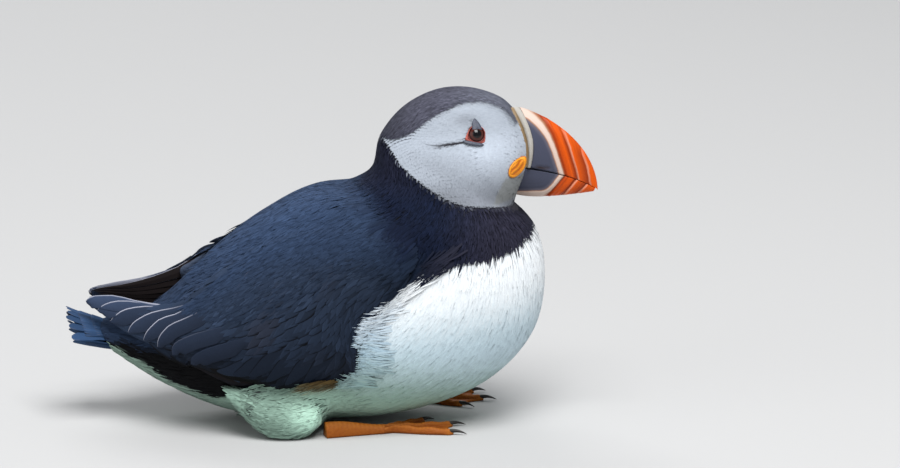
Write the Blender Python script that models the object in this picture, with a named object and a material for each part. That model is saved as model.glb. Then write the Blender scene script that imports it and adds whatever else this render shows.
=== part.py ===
# Atlantic puffin, a life-size still model: crouched on its heels with folded wings, looking along +X.
# +Z is up and the bird's right side is -Y. Sizes are in millimetres here, and meshes are made in metres.
import math

import bmesh
import bpy
import numpy as np
from mathutils import Vector
from mathutils.bvhtree import BVHTree

MM = 0.001
GAP = 0.3  # clearance between neighbouring solids
RIGHT, LEFT = -1, 1
SIDES = {RIGHT: "right", LEFT: "left"}

# The body is a row of upright sections. Each runs from a point on the upper outline (back line) to one
# on the lower outline (throat, breast, belly), and is as wide as half_width to each side.
# name: (top x, top z, bottom x, bottom z, half_width, roundness, forward bow)
SECTIONS = {
    "bill_base": (75.5, 132.0, 75.0, 94.0, 8.0, 0.62, 6.5),
    "forehead": (70.5, 136.0, 76.0, 92.5, 13.5, 0.72, 4.5),
    "brow": (58.0, 140.0, 76.5, 92.0, 19.0, 0.80, 1.5),
    "crown": (45.5, 139.5, 76.5, 91.0, 21.5, 0.82, 0.0),
    "occiput": (31.0, 132.5, 77.0, 90.0, 22.5, 0.84, 0.0),
    "hind_head": (21.0, 120.5, 78.5, 89.0, 23.5, 0.88, 0.0),
    "nape": (17.5, 107.0, 81.5, 86.5, 27.0, 0.92, 0.0),
    "collar": (9.0, 101.0, 85.5, 81.0, 33.0, 0.95, 0.0),
    "mantle": (-7.0, 98.5, 89.0, 67.0, 38.5, 0.95, 0.0),
    "back": (-28.0, 88.0, 85.0, 39.0, 41.5, 0.92, 0.0),
    "loin": (-46.5, 74.0, 65.0, 17.0, 41.5, 0.88, 0.0),
    "saddle": (-60.0, 60.5, 31.0, 4.5, 39.0, 0.84, 0.0),
    "hip": (-71.5, 50.5, -8.0, 2.0, 32.0, 0.82, 0.0),
    "rump": (-82.5, 45.5, -40.5, 4.5, 23.5, 0.85, 0.0),
    "vent": (-90.5, 43.5, -70.5, 16.5, 15.5, 0.90, 0.0),
    "tail_root": (-96.0, 41.5, -89.5, 28.5, 10.0, 0.90, 0.0),
}
# Where the body is parted: so far past the named section, as a share of the way to the next one.
HEAD_END = ("hind_head", 0.5)
NECK_END = ("collar", 0.6)
TRUNK_END = ("hip", 0.6)

# Folded wing, seen from the side, and the least distance its upper and lower edges keep from the midplane.
# name: (top x, top z, bottom x, bottom z, upper distance, lower distance)
WING = {
    "shoulder": (39.0, 80.5, 39.5, 77.5, 0.0, 0.0),
    "wrist": (23.0, 86.0, 22.5, 57.5, 0.0, 0.0),
    "elbow": (0.0, 87.5, 11.5, 42.5, 0.0, 0.0),
    "forearm": (-21.0, 82.0, 8.0, 28.0, 0.0, 0.0),
    "coverts": (-39.0, 72.0, -13.0, 21.0, 16.0, 28.0),
    "secondaries": (-52.0, 61.5, -33.0, 21.5, 21.5, 32.0),
    "bend": (-62.0, 54.5, -52.0, 29.5, 21.5, 28.0),
    "hand": (-75.0, 53.5, -70.0, 36.5, 16.0, 20.5),
    "long_quills": (-87.0, 54.0, -85.0, 41.5, 9.5, 13.0),
    "near_tip": (-95.5, 54.0, -95.5, 47.0, 6.0, 7.5),
    "wing_tip": (-102.0, 52.5, -102.0, 51.5, 4.5, 4.5),
}
QUILLS_START = ("bend", 0.2)
WING_CLEAR = 0.9  # from the body to the wing's inner face
WING_BLEND = 1.8  # softens the change from lying on the body to standing free
WING_THICK = (4.2, 1.1)  # in the middle of the arm, and at the tip and edges
LEFT_WING_LIFT = 7.5  # the left wing is carried higher over the rump

TAIL_REACH = 14.7  # centre feathers past the tail root
TAIL_HALF_ANGLE = 24.0
TAIL_HALF_WIDTH = 9.0  # at the root
TAIL_LIFT = (3.0, 11.5)  # above the middle of the tail root, at the root and at the tips
TAIL_ARCH = 11.0  # how much lower the outer feathers lie
TAIL_THICK = (8.0, 1.2)

# Bill outlines from the side, each as a cubic curve's four points (x, z).
CULMEN = ((76.4, 132.0), (92.0, 128.5), (110.4, 115.0), (111.0, 97.2))
TOMIUM = ((81.6, 108.2), (90.0, 106.2), (100.0, 104.6), (110.4, 98.2))
GONYS = ((75.0, 96.2), (84.0, 93.6), (98.0, 95.2), (109.6, 97.0))
BILL_HALF_WIDTH = (7.6, 1.3)  # at the base and at the tip
RIM_WIDTH = 2.6
RIM_HALF_WIDTH = 8.7

EYE = (61.0, 126.0)
EYE_RADIUS = 4.2
EYE_SHOWS = 1.2  # how far the eyeball stands past the side of the head
UPPER_PLATE = (4.4, 3.6, 3.6)  # breadth of its foot, height, and how far its foot is above the eye
LOWER_PLATE = (8.8, 1.6, 5.0)  # length, breadth, and how far it is below the eye
PLATE_CLEAR, PLATE_THICK = 0.35, 0.8
ROSETTE = (77.4, 109.6)
ROSETTE_SIZE = (4.6, 2.9)
ROSETTE_TILT = math.radians(52)
ROSETTE_OUT = (9.0, 10.8)  # how far its back and its crown are from the midplane

# Legs: heel and toes' root on the ground, as (x, distance from the midplane), for each side.
HEEL = {RIGHT: (-4.0, 32.5), LEFT: (7.0, 25.0)}
TOE_ROOT = {RIGHT: (22.0, 25.0), LEFT: (33.5, 26.5)}
SHANK_LENGTH = 37.0
SHANK_RADIUS = 12.5
TARSUS_START = 2.4  # in front of the heel, clear of the shank's feathers
TARSUS_SIZE = (5.0, 6.0)  # wide, deep
TOES = {"inner": (-27.0, 23.5), "middle": (-2.0, 30.5), "outer": (23.0, 29.5)}  # angle, length
TOE_HALF_WIDTH = (2.3, 1.7)
TOE_SHARE = 0.28  # most of the way to the next toe that a toe's half-width takes up, near the root
TOE_HEIGHT = (4.0, 2.8)
WEB_THICK = 1.0
WEB_NOTCH = 4.0  # how far the web's edge is drawn back between the toes
CLAW_LENGTH = 6.0
CLAW_RADIUS = 1.15

COLOURS = {
    "black_plumage": ((0.020, 0.022, 0.030), 0.75),
    "white_plumage": ((0.800, 0.810, 0.820), 0.80),
    "bill_horn": ((0.820, 0.130, 0.020), 0.40),
    "bill_rim": ((0.720, 0.600, 0.380), 0.50),
    "gape_rosette": ((0.850, 0.330, 0.010), 0.45),
    "eye": ((0.030, 0.008, 0.006), 0.08),
    "eye_plate": ((0.110, 0.130, 0.170), 0.45),
    "foot_skin": ((0.700, 0.120, 0.015), 0.50),
    "claw": ((0.020, 0.016, 0.014), 0.35),
}


def clear_scene():
    for obj in list(bpy.data.objects):
        bpy.data.objects.remove(obj)


def paint(obj, slot):
    """Gives obj the slot's plain material, shared by every piece of that finish."""
    material = bpy.data.materials.get(slot)
    if material is None:
        colour, roughness = COLOURS[slot]
        material = bpy.data.materials.new(slot)
        material.use_nodes = True
        shader = material.node_tree.nodes["Principled BSDF"]
        shader.inputs["Base Color"].default_value = (*colour, 1.0)
        shader.inputs["Roughness"].default_value = roughness
        shader.inputs["Metallic"].default_value = 0.0
        material.diffuse_color = (*colour, 1.0)
    obj.data.materials.append(material)


def finish(name, shape, slot):
    """Makes an object of a bmesh: doubled points merged, faces turned outward and shaded smooth."""
    bmesh.ops.remove_doubles(shape, verts=shape.verts, dist=2e-6)
    bmesh.ops.dissolve_degenerate(shape, edges=shape.edges, dist=2e-6)
    bmesh.ops.triangulate(shape, faces=shape.faces)
    bmesh.ops.recalc_face_normals(shape, faces=shape.faces)
    mesh = bpy.data.meshes.new(name)
    shape.to_mesh(mesh)
    shape.free()
    mesh.shade_smooth()
    mesh.set_sharp_from_angle(angle=math.radians(45))
    obj = bpy.data.objects.new(name, mesh)
    bpy.context.scene.collection.objects.link(obj)
    paint(obj, slot)
    return obj


def make_solid(name, points, faces, slot):
    """One closed object from points in millimetres and faces that list them."""
    shape = bmesh.new()
    corners = [shape.verts.new(point) for point in (np.asarray(points) * MM).tolist()]
    for face in faces:
        shape.faces.new([corners[i] for i in dict.fromkeys(face)])
    return finish(name, shape, slot)


def cut(obj, cutter):
    """Takes the cutter's shape out of obj; the cutter stays as a hidden helper."""
    cutter.hide_render = True
    cutter.display_type = "WIRE"
    modifier = obj.modifiers.new("cut_" + cutter.name, "BOOLEAN")
    modifier.operation = "DIFFERENCE"
    modifier.solver = "EXACT"
    modifier.object = cutter


def curve_through(knots, values, at):
    """A smooth curve through the rows of values at the given knots, with centred slopes."""
    knots, values = np.asarray(knots, float), np.asarray(values, float)
    at = np.clip(at, knots[0], knots[-1])
    slopes = np.gradient(values, knots, axis=0)
    i = np.clip(np.searchsorted(knots, at, side="right") - 1, 0, len(knots) - 2)
    span = (knots[i + 1] - knots[i])[..., None]
    u = ((at - knots[i]) / (knots[i + 1] - knots[i]))[..., None]
    return (
        (2 * u**3 - 3 * u**2 + 1) * values[i]
        + (u**3 - 2 * u**2 + u) * span * slopes[i]
        + (3 * u**2 - 2 * u**3) * values[i + 1]
        + (u**3 - u**2) * span * slopes[i + 1]
    )


def knots_of(table):
    """Distances along a table of stations, from the mean step of its upper and lower points."""
    rows = np.array([row[:4] for row in table.values()])
    steps = np.hypot(*np.diff(rows[:, :2], axis=0).T) + np.hypot(*np.diff(rows[:, 2:4], axis=0).T)
    return np.concatenate([[0.0], np.cumsum(steps / 2 + 1.0)])


def place_in(table, place):
    """The distance of a place given as (station name, share of the way to the next station)."""
    knots, i = knots_of(table), list(table).index(place[0])
    return knots[i] + place[1] * (knots[min(i + 1, len(knots) - 1)] - knots[i])


def cubic(points, t):
    """A cubic curve from its four control points."""
    p, t = np.array(points), np.asarray(t, float)[..., None]
    return (1 - t) ** 3 * p[0] + 3 * t * (1 - t) ** 2 * p[1] + 3 * t**2 * (1 - t) * p[2] + t**3 * p[3]


def body_point(s, angle, grow=0.0):
    """The body's surface: s runs from bill to tail, and angle from the back (0) down the right side."""
    row = curve_through(knots_of(SECTIONS), list(SECTIONS.values()), s)
    top, bottom = row[..., 0:2], row[..., 2:4]
    along = bottom - top
    along /= np.linalg.norm(along, axis=-1, keepdims=True)
    top, bottom = top - grow * along, bottom + grow * along
    down = ((1 - np.cos(angle)) / 2)[..., None]
    forward = np.stack([-along[..., 1], along[..., 0]], -1)
    side = top + (bottom - top) * down + forward * row[..., 6:7] * 4 * down * (1 - down)
    wide = np.abs(np.sin(angle)) ** row[..., 5] * np.sign(np.sin(angle)) * (row[..., 4] + grow)
    return np.stack([side[..., 0], -wide, side[..., 1]], -1)


def ring_quads(rings, around):
    """Faces of a grid of points that closes on itself around each ring."""
    index = np.arange(rings * around).reshape(rings, around)
    nxt = np.roll(index, -1, axis=1)
    return index, list(np.stack([index[:-1], nxt[:-1], nxt[1:], index[1:]], -1).reshape(-1, 4))


def body_rings(start, end, rings, around, grow=0.0):
    s, angle = np.meshgrid(
        np.linspace(start, end, rings), np.arange(around) * 2 * math.pi / around, indexing="ij"
    )
    return body_point(s, angle, grow)


def tube(name, start, end, rings, slot, around=30, grow=0.0):
    """A length of the body between two distances. Its end caps are flat, half a gap inside the cut."""
    points = body_rings(start, end, rings, around, grow)
    half = around // 2
    for end_ring, inner in ((0, 1), (rings - 1, rings - 2)):
        chord = points[end_ring, half] - points[end_ring, 0]
        normal = np.array([-chord[2], 0.0, chord[0]]) / np.linalg.norm(chord)
        towards = points[inner].mean(0) - points[end_ring].mean(0)
        points[end_ring] += normal * np.sign(normal @ towards) * GAP / 2
    index, faces = ring_quads(rings, around)
    for ring in (index[0], index[-1]):  # a cap joins each right-hand point to its left-hand twin
        faces += [
            [ring[j], ring[j + 1], ring[(around - j - 1) % around], ring[(around - j) % around]]
            for j in range(half)
        ]
    return make_solid(name, points.reshape(-1, 3), faces, slot)


def between(name, outer, inner, slot):
    """A closed solid between two sheets of points with the same rows and columns."""
    rows, columns = outer.shape[:2]
    count = rows * columns
    index = np.arange(count).reshape(rows, columns)
    quads = np.stack([index[:-1, :-1], index[:-1, 1:], index[1:, 1:], index[1:, :-1]], -1).reshape(-1, 4)
    edge = np.concatenate([index[0, :-1], index[:-1, -1], index[-1, :0:-1], index[:0:-1, 0]])
    after = np.roll(edge, -1)
    walls = np.stack([edge, after, after + count, edge + count], -1)
    faces = [*quads, *(quads[:, ::-1] + count), *walls]
    return make_solid(name, np.concatenate([outer.reshape(-1, 3), inner.reshape(-1, 3)]), faces, slot)


def loft(name, points, slot):
    """A closed solid through rings of points, capped at both ends."""
    index, quads = ring_quads(*points.shape[:2])
    return make_solid(name, points.reshape(-1, 3), [*quads, index[0], index[-1]], slot)


def disc(name, outer, inner, slot):
    """A closed pad from two sheets given as rings about a centre."""
    index, quads = ring_quads(*outer.shape[:2])
    rim, after, count = index[-1], np.roll(index[-1], -1), index.size
    walls = np.stack([rim, after, after + count, rim + count], -1)
    under = [q[::-1] + count for q in quads]
    points = np.concatenate([outer.reshape(-1, 3), inner.reshape(-1, 3)])
    return make_solid(name, points, [*quads, *under, *walls], slot)


def ball(name, centre, radius, slot):
    shape = bmesh.new()
    bmesh.ops.create_uvsphere(shape, u_segments=14, v_segments=8, radius=radius * MM)
    bmesh.ops.translate(shape, verts=shape.verts, vec=Vector(centre) * MM)
    return finish(name, shape, slot)


def seat_in(obj, solid):
    """Cuts obj to fit round solid with the usual clearance."""
    mesh = solid.data.copy()
    points = np.array([v.co + v.normal * GAP * MM for v in mesh.vertices], dtype=np.float32)
    mesh.vertices.foreach_set("co", points.ravel())
    cutter = bpy.data.objects.new("seat_of_" + solid.name, mesh)
    bpy.context.scene.collection.objects.link(cutter)
    cut(obj, cutter)


def fine_body():
    """The whole body's fine surface, to read how far its side lies from the midplane."""
    rings, around = 160, 96
    points = body_rings(0, knots_of(SECTIONS)[-1], rings, around).reshape(-1, 3)
    return BVHTree.FromPolygons(points.tolist(), [list(map(int, q)) for q in ring_quads(rings, around)[1]])


def body_side(tree, x, z):
    """Half-width of the body at side-view points, 0 where they miss it."""
    found = np.zeros(np.shape(x))
    for at in np.ndindex(found.shape):
        hit = tree.ray_cast(Vector((x[at], -200.0, z[at])), Vector((0.0, 1.0, 0.0)))[0]
        found[at] = -hit.y if hit else 0.0
    return found


def make_body():
    head_end, neck_end, trunk_end = (place_in(SECTIONS, p) for p in (HEAD_END, NECK_END, TRUNK_END))
    tail_root = knots_of(SECTIONS)[-1]
    head = tube("head", 0.0, head_end, 11, "white_plumage")
    tube("neck", head_end, neck_end, 5, "black_plumage")
    tube("trunk", neck_end, trunk_end, 13, "white_plumage", around=32)
    tube("rump", trunk_end, tail_root, 6, "black_plumage")
    return head


def make_wing(tree, side, name):
    """The folded wing as a thin shell over the body's side: the arm, and the long quills behind it."""
    table = np.array(list(WING.values()))
    knots, split = knots_of(WING), place_in(WING, QUILLS_START)
    spans = (
        ("wing_" + name, 0.0, split, 13, 0.0, -GAP / 2),
        ("quills_" + name, split, knots[-1], 7, GAP / 2, 0.0),
    )
    for node, start, end, rows, trim_start, trim_end in spans:
        u, v = np.meshgrid(
            np.linspace(start + trim_start, end + trim_end, rows), np.linspace(0, 1, 8), indexing="ij"
        )
        row = curve_through(knots, table, u)
        far = u / knots[-1]
        x = row[..., 0] + (row[..., 2] - row[..., 0]) * v
        z = row[..., 1] + (row[..., 3] - row[..., 1]) * v
        if side == LEFT:
            z = z + LEFT_WING_LIFT * np.exp(-(((far - 0.66) / 0.16) ** 2)) * (1 - 0.4 * v)
        body, least = body_side(tree, x, z), row[..., 4] + (row[..., 5] - row[..., 4]) * v
        inner = (body + least) / 2 + np.hypot((body - least) / 2, WING_BLEND) + WING_CLEAR
        middle = np.sin(math.pi * np.clip(v, 0.02, 0.98)) ** 0.7 * np.sin(math.pi * np.clip(far * 0.9, 0.03, 1))
        thick = WING_THICK[1] + (WING_THICK[0] - WING_THICK[1]) * middle
        sheets = [np.stack([x, side * w, z], -1) for w in (inner + thick, inner)]
        between(node, *sheets, "black_plumage")


def make_tail():
    """A short fan of quills, arched across and rounded at the tips."""
    top_x, top_z, foot_x, foot_z = SECTIONS["tail_root"][:4]
    u, v = np.meshgrid(np.linspace(0, 1, 6), np.linspace(-1, 1, 11), indexing="ij")
    angle = np.radians(TAIL_HALF_ANGLE) * v
    reach = TAIL_REACH * (1 - 0.22 * v**2)
    y = v * TAIL_HALF_WIDTH + u * reach * np.sin(angle)
    lift = TAIL_LIFT[0] + (TAIL_LIFT[1] - TAIL_LIFT[0]) * u
    middle = (top_z + foot_z) / 2 + lift - TAIL_ARCH * v**2 * (0.4 + 0.6 * u)
    thick = TAIL_THICK[1] + (TAIL_THICK[0] - TAIL_THICK[1]) * (1 - u) * (1 - 0.5 * v**2)
    sheets = []
    for face in (0.5, -0.5):
        z = middle + face * thick
        start = top_x - 1.5 * GAP + (top_z - z[0]) * (foot_x - top_x) / (top_z - foot_z)
        end = top_x - GAP - reach * np.cos(angle)
        sheets.append(np.stack([start + (end - start) * u, y, z], -1))
    between("tail", *sheets, "black_plumage")


def face_front(z):
    """How far forward the feathered face reaches at a height: the line the bill's base follows."""
    top_x, top_z, foot_x, foot_z, _wide, _round, bow = SECTIONS["bill_base"]
    down = np.clip((top_z - z) / (top_z - foot_z), 0, 1)
    return top_x + (foot_x - top_x) * down + bow * 4 * down * (1 - down)


def bill_side(upper, lower, end, gap, rows, columns, ridge_at_top):
    """Right-hand face of a bill piece between two side-view curves, with its ridge at the top or foot."""
    u, v = np.meshgrid(np.linspace(0, end, rows), np.linspace(0, 1, columns), indexing="ij")
    v = v**1.8 if ridge_at_top else 1 - (1 - v) ** 1.8
    top, foot = cubic(upper, u), cubic(lower, u)
    x = top[..., 0] + (foot[..., 0] - top[..., 0]) * v
    z = top[..., 1] + (foot[..., 1] - top[..., 1]) * v
    x += (1 - u) ** 2 * (face_front(z[0]) + gap - x[0])
    from_ridge = v if ridge_at_top else 1 - v
    base, tip = BILL_HALF_WIDTH
    wide = (tip + (base - tip) * (1 - u) ** 0.8) * (1 - (1 - from_ridge) ** 2.4) ** 0.55
    return np.stack([x, -wide, z], -1)


def mirrored(sheet):
    return sheet * np.array([1.0, -1.0, 1.0])


def make_bill():
    """Upper and lower horn of the bill, and the pale rim that edges the upper one at its base."""
    upper = bill_side(CULMEN, TOMIUM, 1.0, RIM_WIDTH + 2 * GAP, 12, 8, True)
    between("bill_upper", upper, mirrored(upper), "bill_horn")
    lower = bill_side(TOMIUM, GONYS, 0.985, GAP, 11, 7, False) - np.array([0.0, 0.0, GAP])
    between("bill_lower", lower, mirrored(lower), "bill_horn")
    # The rim stands between the face and the upper horn's base edge.
    edge = upper[0]
    across = np.linspace(0, 1, 4)
    swell = 1 + (RIM_HALF_WIDTH / BILL_HALF_WIDTH[0] - 1) * np.sin(math.pi * (0.1 + 0.8 * across))
    side = np.repeat(edge[None], len(across), axis=0)
    side[..., 0] = face_front(edge[:, 2]) + GAP + RIM_WIDTH * across[:, None]
    side[..., 1] *= swell[:, None]
    side[:, 0, 2] += 0.8 * (swell - 1)
    between("bill_rim", side, mirrored(side), "bill_rim")


def plate(name, tree, x, z, side, thick):
    """A thin horn plate that hugs the head, over a side-view grid."""
    surface = body_side(tree, x, z) + PLATE_CLEAR
    sheets = [np.stack([x, side * w, z], -1) for w in (surface + thick, surface)]
    between(name, *sheets, "eye_plate")


def make_face(tree, head):
    """Eyes in their sockets, the horn plates above and below each, and the gape rosettes."""
    for side, name in SIDES.items():
        probe = body_side(tree, EYE[0] + np.array([0.0, 1.0, 0.0]), EYE[1] + np.array([0.0, 0.0, 1.0]))
        outward = np.array([probe[0] - probe[1], 1.0, probe[0] - probe[2]])
        outward /= np.linalg.norm(outward)
        centre = np.array([EYE[0], probe[0], EYE[1]]) - outward * (EYE_RADIUS - EYE_SHOWS)
        centre[1] *= side
        seat_in(head, ball("eye_" + name, centre, EYE_RADIUS, "eye"))
        # Upper plate: a narrow tooth, widest at its foot.
        up, across = np.meshgrid(np.linspace(0, 1, 4), np.linspace(-1, 1, 5), indexing="ij")
        broad, high, above = UPPER_PLATE
        x = EYE[0] + 0.3 + across * broad / 2 * (1 - 0.85 * up) - 0.6 * up
        z = EYE[1] + above + high * up - 0.5 * np.abs(across) * (1 - up)
        plate("eye_plate_upper_" + name, tree, x, z, side, PLATE_THICK * (1 - 0.4 * up))
        # Lower plate: a bar that droops forward.
        along, across = np.meshgrid(np.linspace(-1, 1, 6), np.linspace(-1, 1, 3), indexing="ij")
        long, broad, below = LOWER_PLATE
        x = EYE[0] - 1.4 + along * long / 2
        z = EYE[1] - below - 0.9 * along + across * broad / 2 * (1 - 0.4 * along**2)
        plate("eye_plate_lower_" + name, tree, x, z, side, PLATE_THICK)
        # Rosette: an oval pad at the corner of the gape.
        radius, turn = np.meshgrid(np.linspace(0, 1, 4), np.arange(16) * math.pi / 8, indexing="ij")
        a, b = ROSETTE_SIZE[0] * radius * np.cos(turn), ROSETTE_SIZE[1] * radius * np.sin(turn)
        x = ROSETTE[0] + a * math.cos(ROSETTE_TILT) - b * math.sin(ROSETTE_TILT)
        z = ROSETTE[1] + a * math.sin(ROSETTE_TILT) + b * math.cos(ROSETTE_TILT)
        taper = 0.18 * (x - ROSETTE[0])  # the face narrows toward the bill
        low, high = ROSETTE_OUT
        crown = low + (high - low) * (0.35 + 0.65 * np.sqrt(1 - 0.9 * radius**2))
        outer, inner = (np.stack([x, side * (out - taper), z], -1) for out in (crown, low + 0 * x))
        seat_in(head, disc("rosette_" + name, outer, inner, "gape_rosette"))


def plan_line(start, end):
    """A ground line from start to end: its length, its direction and the direction to its left."""
    run = np.array(end) - np.array(start)
    length = np.linalg.norm(run)
    ahead = run / length
    return length, ahead, np.array([-ahead[1], ahead[0]])


def make_leg(side, name):
    """A feathered shank and the bare tarsus laid along the ground. Returns the shank."""
    heel = np.array([HEEL[side][0], side * HEEL[side][1]])
    root = np.array([TOE_ROOT[side][0], side * TOE_ROOT[side][1]])
    # Shank: from inside the flank down to the heel.
    t, turn = np.meshgrid(np.linspace(0, 1, 9), np.arange(16) * math.pi / 8, indexing="ij")
    radius = SHANK_RADIUS * np.sin(math.pi * (0.16 + 0.70 * t)) ** 0.9
    x = heel[0] + 1.0 - SHANK_LENGTH * (1 - t) - 3.0 * np.sin(turn) * (1 - t)
    y = heel[1] * (0.93 + 0.07 * t) + 0.78 * radius * np.cos(turn)
    z = 15.5 - 6.8 * t - 4.0 * np.sin(math.pi * t) + 0.85 * radius * np.sin(turn)
    shank = loft("shank_" + name, np.stack([x, y, np.maximum(z, GAP)], -1), "white_plumage")
    # Tarsus: a round-topped bar with a flat underside.
    wide, deep = TARSUS_SIZE
    length, ahead, left = plan_line(heel, root)
    u, turn = np.meshgrid(np.linspace(0, 1, 5), np.linspace(0, math.pi, 7), indexing="ij")
    along = TARSUS_START + (length - TARSUS_START - GAP) * u
    aside = np.cos(turn) * wide / 2 * (1 + 0.25 * (2 * u - 1) ** 2)
    plan = heel + ahead * along[..., None] + left * aside[..., None]
    height = 0.6 + (deep - 0.6) * np.sin(turn) * (1 - 0.25 * u)
    sheets = [np.concatenate([plan, h[..., None]], -1) for h in (height, 0 * height)]
    between("tarsus_" + name, *sheets, "foot_skin")
    return shank


def make_foot(side, name):
    """Three toes as ridges on one web, all on a flat sole, and a claw at the end of each toe."""
    root = np.array([TOE_ROOT[side][0], side * TOE_ROOT[side][1]])
    _length, axis, left = plan_line((HEEL[side][0], side * HEEL[side][1]), root)
    steps = np.linspace(0, 1, 7)
    angles = [math.radians(angle) for angle, _reach in TOES.values()]
    spread = (angles[-1] - angles[0]) / (len(angles) - 1)
    lines, heights, toes = [], [], []
    for toe, (angle, length) in TOES.items():
        turn = side * math.radians(angle)
        ahead = axis * math.cos(turn) + left * math.sin(turn)
        toes.append((toe, ahead, np.array([-ahead[1], ahead[0]]) * side, length))
    for n, (_toe, ahead, outward, length) in enumerate(toes):
        half = TOE_HALF_WIDTH[0] + (TOE_HALF_WIDTH[1] - TOE_HALF_WIDTH[0]) * steps
        half = np.minimum(half, TOE_SHARE * spread * steps * length)
        tall = TOE_HEIGHT[0] + (TOE_HEIGHT[1] - TOE_HEIGHT[0]) * steps - WEB_THICK
        for offset, share in ((-1.0, 0.05), (-0.7, 0.7), (0.0, 1.0), (0.7, 0.7), (1.0, 0.05)):
            run = ahead * (steps * length * (1 - 0.03 * abs(offset)))[:, None]
            lines.append(root + run + outward * (offset * half)[:, None])
            heights.append(WEB_THICK + tall * share)
        if n + 1 < len(toes):
            _next, next_ahead, _outward, next_length = toes[n + 1]
            reach = steps * ((length + next_length) / 2 - WEB_NOTCH * steps**2)
            for share in (1 / 3, 2 / 3):
                mixed = ahead * (1 - share) + next_ahead * share
                lines.append(root + mixed / np.linalg.norm(mixed) * reach[:, None])
                heights.append(np.full(len(steps), WEB_THICK))
    plan, height = np.array(lines), np.array(heights)
    # At the toes' root all the lines start from one short bar across the end of the tarsus.
    plan[:, 0] = root + left * side * np.linspace(-2.4, 2.4, len(lines))[:, None]
    height[:, 0] = 3.0
    sheets = [np.concatenate([plan, h[..., None]], -1) for h in (height, 0 * height)]
    between("foot_" + name, *sheets, "foot_skin")
    for toe, ahead, outward, length in toes:
        t, turn = np.meshgrid(np.linspace(0, 1, 6), np.arange(8) * math.pi / 4, indexing="ij")
        radius = CLAW_RADIUS * (1 - 0.88 * t**1.3)
        along = length + GAP + CLAW_LENGTH * t
        plan = root + ahead * along[..., None] + outward * (radius * np.cos(turn))[..., None]
        z = 1.5 - 1.1 * t**2 + 0.4 * np.sin(math.pi * t) + radius * np.sin(turn)
        claw = np.concatenate([plan, np.maximum(z, 0.05)[..., None]], -1)
        loft(f"claw_{toe}_{name}", claw, "claw")


def main():
    clear_scene()
    tree = fine_body()
    head = make_body()
    for side, name in SIDES.items():
        make_wing(tree, side, name)
    make_tail()
    make_bill()
    make_face(tree, head)
    trunk_end = place_in(SECTIONS, TRUNK_END)
    hollow = tube("belly_hollow", place_in(SECTIONS, NECK_END), trunk_end + 6.0, 13, "black_plumage", 32, 0.45)
    for side, name in SIDES.items():
        cut(make_leg(side, name), hollow)
        make_foot(side, name)


main()
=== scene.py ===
import math

import bpy
import numpy as np
from numpy import arange, array, asarray, clip, cos, interp, linspace, maximum, radians, sin
from numpy import concatenate as join, stack
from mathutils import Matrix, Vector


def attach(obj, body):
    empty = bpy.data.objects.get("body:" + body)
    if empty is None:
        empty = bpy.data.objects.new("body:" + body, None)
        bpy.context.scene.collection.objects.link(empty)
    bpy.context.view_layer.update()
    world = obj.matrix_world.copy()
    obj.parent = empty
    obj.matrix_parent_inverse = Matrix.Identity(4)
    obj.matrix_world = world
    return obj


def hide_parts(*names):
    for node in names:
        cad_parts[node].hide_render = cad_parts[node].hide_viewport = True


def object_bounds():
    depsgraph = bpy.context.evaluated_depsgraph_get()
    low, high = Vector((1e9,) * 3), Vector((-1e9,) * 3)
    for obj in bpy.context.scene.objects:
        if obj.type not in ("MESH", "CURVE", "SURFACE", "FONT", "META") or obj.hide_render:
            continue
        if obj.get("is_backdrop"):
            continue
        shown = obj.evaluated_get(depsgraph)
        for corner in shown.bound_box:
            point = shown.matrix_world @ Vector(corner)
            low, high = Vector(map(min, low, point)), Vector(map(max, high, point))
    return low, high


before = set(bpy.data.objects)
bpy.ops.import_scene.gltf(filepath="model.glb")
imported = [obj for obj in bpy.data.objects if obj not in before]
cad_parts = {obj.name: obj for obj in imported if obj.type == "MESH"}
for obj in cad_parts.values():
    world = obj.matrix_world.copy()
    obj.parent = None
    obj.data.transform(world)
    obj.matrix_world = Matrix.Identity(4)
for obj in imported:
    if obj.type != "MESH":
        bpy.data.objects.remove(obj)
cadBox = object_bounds()

mm, pi = 0.001, math.pi
seeded = np.random.default_rng
sides = {"right": -1, "left": 1}

# name: (top x, top z, bottom x, bottom z, half width, roundness, forward bow)
bodySections = {
    "billBase": (75.5, 132, 75, 94, 8, 0.62, 6.5),
    "forehead": (70.5, 136, 76, 92.5, 13.5, 0.72, 4.5),
    "brow": (58, 140, 76.5, 92, 19, 0.8, 1.5),
    "crown": (45.5, 139.5, 76.5, 91, 21.5, 0.82, 0),
    "occiput": (31, 132.5, 77, 90, 22.5, 0.84, 0),
    "hindHead": (21, 120.5, 78.5, 89, 23.5, 0.88, 0),
    "nape": (17.5, 107, 81.5, 86.5, 27, 0.92, 0),
    "collar": (9, 101, 85.5, 81, 33, 0.95, 0),
    "mantle": (-7, 98.5, 89, 67, 38.5, 0.95, 0),
    "back": (-28, 88, 85, 39, 41.5, 0.92, 0),
    "loin": (-46.5, 74, 65, 17, 41.5, 0.88, 0),
    "saddle": (-60, 60.5, 31, 4.5, 39, 0.84, 0),
    "hip": (-71.5, 50.5, -8, 2, 32, 0.82, 0),
    "rump": (-82.5, 45.5, -40.5, 4.5, 23.5, 0.85, 0),
    "vent": (-90.5, 43.5, -70.5, 16.5, 15.5, 0.9, 0),
    "tailRoot": (-96, 41.5, -89.5, 28.5, 10, 0.9, 0),
}

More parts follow.
